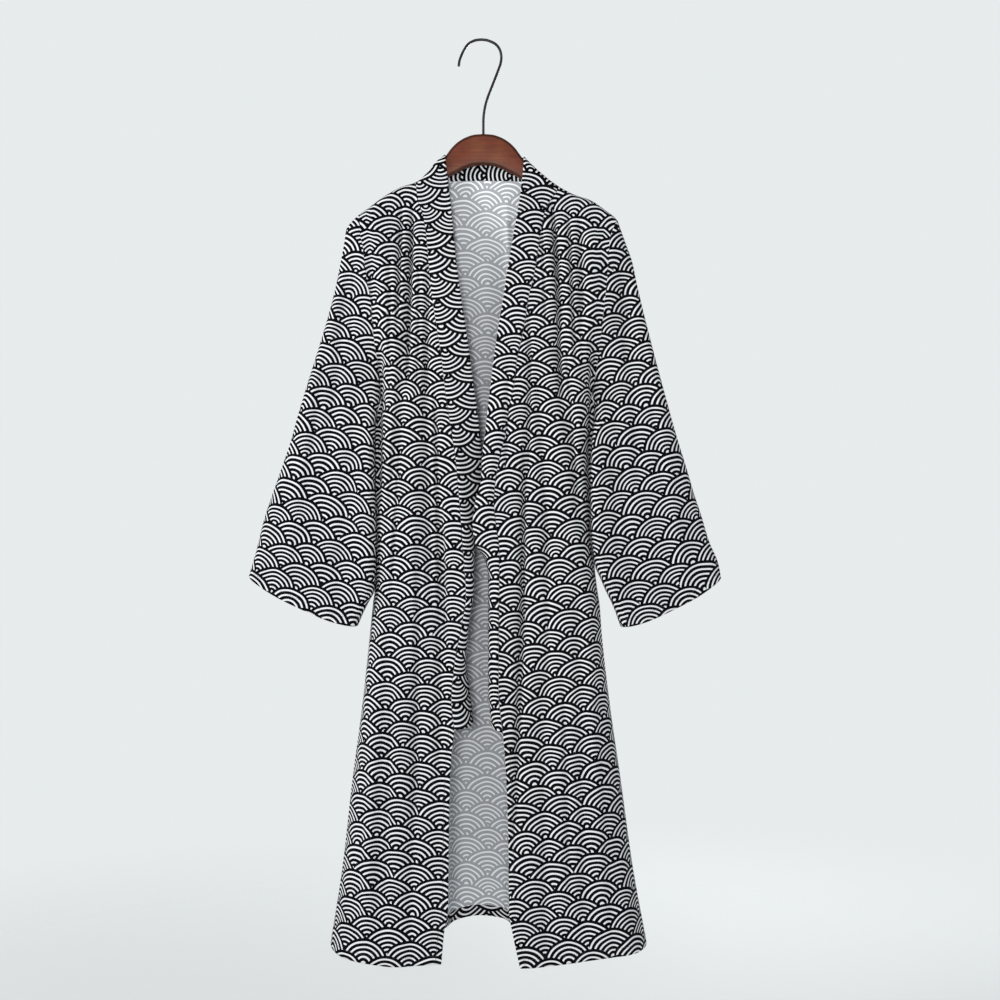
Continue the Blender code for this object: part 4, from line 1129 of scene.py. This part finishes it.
def hem(name, rows, flat, outer, depth=HEM_DEPTH):
    """The turned-up hem inside a grid's last row, its print continued round the edge, and its row
    of stitches outside. Outer is 1 where the grid's normals point out of the robe, or else -1."""
    middle = rows[::-1, rows.shape[1] // 2]
    count = int(np.searchsorted(measured(middle), depth)) + 1
    strip, strip_flat = rows[-count:], flat[-count:]
    lifted = strip - outer * grid_normals(strip) * HEM_LIFT
    round_edge = 2 * strip_flat[-1:] - strip_flat
    turned_up = cloth(name, lifted, round_edge, HEM_WALL, [outer_cotton], lambda y: FRONT)
    out = outer * grid_normals(rows)[1 - count]
    sewn = rows[1 - count] + out * (CLOTH_WALL / 2 + THREAD_RISE)
    return [turned_up, stitches(name + "_stitches", sewn, out)]


def printed_cloth(part, rows, flat, outward):
    """One of the robe's thin pieces, in the place of the model's part."""
    finishes = [outer_cotton, inner_cotton]
    piece = cloth(f"{part}_cloth", rows, flat, CLOTH_WALL, finishes, outward)
    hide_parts(part)
    return piece


def dress_front(side, panel):
    """A front panel, with hems along its bottom and down its own free edge."""
    flat = turned(settled(panel, unrolled(panel)), PANEL_TURN[side])
    piece = printed_cloth(f"front_{side}", panel, flat, lambda y: FRONT)
    outer = -INWARD[side]  # the left panel's normals point out of the robe
    extras = hem(f"front_{side}_hem", panel, flat, outer)
    below = -panel[:, 0, 2] > EDGE_HEM_FROM[side]
    edge, edge_flat = (grid[below][:, ::-1].transpose(1, 0, 2) for grid in (panel, flat))
    extras += hem(f"front_{side}_edge", edge, edge_flat, outer, EDGE_HEM_DEPTH)


def dress_back(panel):
    """The back panel, with its print laid out from its middle, and a hem along its bottom."""
    flat = settled(panel, unrolled(panel))
    middle = panel.shape[1] // 2
    flat[..., 0] -= flat[:, middle : middle + 1, 0].copy()
    piece = printed_cloth("back", panel, flat, lambda y: BACK)
    extras = hem("back_hem", panel, flat, outer=-1)


def dress_sleeve(side, rows):
    """A sleeve, with a hem round its cuff."""
    flat = turned(settled(rows, unrolled_sleeve(rows)), SLEEVE_TURN[side])
    middle = float(rows[..., 1].mean())
    piece = printed_cloth(f"sleeve_{side}", rows, flat, lambda y: y - middle)
    extras = hem(f"sleeve_{side}_hem", rows, flat, outer=-INWARD[side])


def dress_collar(rows):
    """The doubled band, as one thick wall."""
    flat = settled(rows, unrolled_band(rows), every=(1, 1))
    piece = cloth("collar_cloth", rows, flat, COLLAR_WALL, [band_cotton], lambda y: FRONT)
    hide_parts("collar")


back = back_panel()
fronts = {side: front_panel(side) for side in SIDES}
back_edges = {RIGHT: back[:, 0], LEFT: back[:, -1]}
for side in SIDES:
    dress_front(side, fronts[side])
dress_back(back)
for side in SIDES:
    dress_sleeve(side, sleeve(side, fronts[side][:, -1], back_edges[side]))
dress_collar(collar({side: fronts[side][:, 0] for side in SIDES}, back[0]))

# ---- the hanger ----


def fine_line(edge):
    """A smooth line through one of the hanger's edges, at an even spacing outwards."""
    out = HANGER["out"]
    at = np.linspace(out[0], out[-1], int((out[-1] - out[0]) / HANGER_SPACING) + 1)
    return list(zip(at, smooth(at, out, HANGER[edge])))


def hanger():
    half = fine_line("top") + list(zip(*HANGER_TIP.values())) + fine_line("bottom")[::-1]
    other = [(-out, down) for out, down in half[::-1] if out > 0]
    shape = bmesh.new()
    outline = [(HOOK_AXIS_X + out, -HANGER_THICKNESS / 2, -down) for out, down in half + other]
    face = shape.faces.new([shape.verts.new(place) for place in outline])
    raised = bmesh.ops.extrude_face_region(shape, geom=[face])
    moved = [v for v in raised["geom"] if isinstance(v, bmesh.types.BMVert)]
    bmesh.ops.translate(shape, verts=moved, vec=(0, HANGER_THICKNESS, 0))
    bmesh.ops.recalc_face_normals(shape, faces=shape.faces)
    # The rounded edges take the stain at 0.42 of its colour: painted shade along the board's edges.
    finishes = [stained_wood("stained_wood", shade=1), stained_wood("stained_wood_painted_shade_edge", shade=0.42)]
    board = show("hanger_board", smooth_mesh("hanger_board", shape), finishes)
    eased = board.modifiers.new("eased edges", "BEVEL")
    eased.width = HANGER_EDGE_ROUND
    eased.segments = 6
    eased.limit_method = "ANGLE"
    eased.angle_limit = HANGER_SHARP_EDGE
    # The rounds take the second finish, the darker painted-shade copy.
    eased.material = 1
    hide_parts("hanger_wood")


def hook():
    wire_x = np.append(HOOK_WIRE["x"], HOOK_AXIS_X)
    wire_down = np.append(HOOK_WIRE["down"], HANGER["top"][0] + HOOK_SEAT_DEPTH)
    length = measured(np.stack([wire_x, wire_down], axis=-1))
    at = np.linspace(0, length[-1], HOOK_POINTS)
    wire = bpy.data.curves.new("hook_wire", "CURVE")
    wire.dimensions = "3D"
    wire.bevel_depth = HOOK_WIRE_RADIUS
    wire.bevel_resolution = 5
    wire.use_fill_caps = True
    line = wire.splines.new("POLY")
    line.points.add(HOOK_POINTS - 1)
    for place, x, down in zip(line.points, smooth(at, length, wire_x), smooth(at, length, wire_down)):
        place.co = (x, 0, -down, 1)
    line.use_smooth = True
    placed = show("hook_wire", wire, [black_wire()])
    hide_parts("hanger_hook")


hanger()
hook()

# ---- the room ----

VIEW_X, VIEW_DOWN, VIEW_DISTANCE = 27 * MM, 688.5 * MM, 2100 * MM
FLOOR_DOWN = 1700 * MM
FLOOR_RADIUS = 2.4
FLOOR_FADES_FROM = 0.4
FLOOR_SIDES = 96
WARM, WHITE = (1.0, 0.99, 0.97), (1.0, 1.0, 1.0)
LOW_WALL, HIGH_WALL = (0.80, 0.835, 0.835), (0.26, 0.27, 0.275)
WALL_DARKENS = 0.36, 0.64  # between these heights of a direction, as the Z of a unit vector


def add_camera():
    camera = bpy.data.cameras.new("camera")
    camera.lens = 50.4
    camera.sensor_width = 36
    scene.camera = add_object("camera", camera)
    scene.camera.location = (VIEW_X, -VIEW_DISTANCE, -VIEW_DOWN)
    scene.camera.rotation_euler = (math.radians(90), 0, 0)


def add_lamp(name, place, target, size, power, colour):
    light = bpy.data.lights.new(name, "AREA")
    light.shape = "DISK"
    light.size = size
    light.energy = power
    light.color = colour
    placed = add_object(name, light)
    placed.location = place
    placed.rotation_euler = (Vector(target) - Vector(place)).to_track_quat("-Z", "Y").to_euler()


def add_world():
    """Pale all round and darker overhead."""
    world = bpy.data.worlds.new("studio")
    world.use_nodes = True
    tree = world.node_tree
    looked_at = add_node(tree, "TexCoord").outputs["Generated"]
    height = add_node(tree, "SeparateXYZ", {"Vector": looked_at}).outputs["Z"]
    steepness = ramp(tree, height, *WALL_DARKENS, kind="SMOOTHSTEP")
    connect(tree.nodes["Background"].inputs["Color"], mixed(tree, steepness, LOW_WALL, HIGH_WALL))
    scene.world = world


def floor_material():
    """A pale floor that fades out towards its edge."""
    made, tree, shader = new_material("pale_floor", {"Roughness": 0.8, "Base Color": (0.68, 0.705, 0.705)})
    from_middle = add_node(tree, "VectorMath", {0: object_place(tree)}, operation="LENGTH")
    fading = ramp(tree, from_middle.outputs["Value"], FLOOR_FADES_FROM, FLOOR_RADIUS, kind="SMOOTHSTEP")
    clear = add_node(tree, "BsdfTransparent").outputs[0]
    blended = add_node(tree, "MixShader", {0: fading, 1: shader.outputs[0], 2: clear}).outputs[0]
    connect(tree.nodes["Material Output"].inputs["Surface"], blended)
    return made


def add_floor():
    disc = bmesh.new()
    bmesh.ops.create_circle(disc, cap_ends=True, segments=FLOOR_SIDES, radius=FLOOR_RADIUS)
    floor = add_object("floor", smooth_mesh("floor", disc))
    floor.location = (0, 0, -FLOOR_DOWN)
    floor.data.materials.append(floor_material())


add_camera()
add_lamp("front light", (-0.25, -2.8, -0.5), (0, 0, -0.75), size=0.5, power=31, colour=WARM)
add_lamp("side light", (-2.3, -1.1, 0.5), (0, 0, -0.7), size=0.8, power=48, colour=WARM)
add_lamp("back light", (1.0, 2.9, -0.1), (0, 0, -0.75), size=1.2, power=58, colour=WHITE)
add_world()
add_floor()
scene.view_settings.view_transform = "Standard"
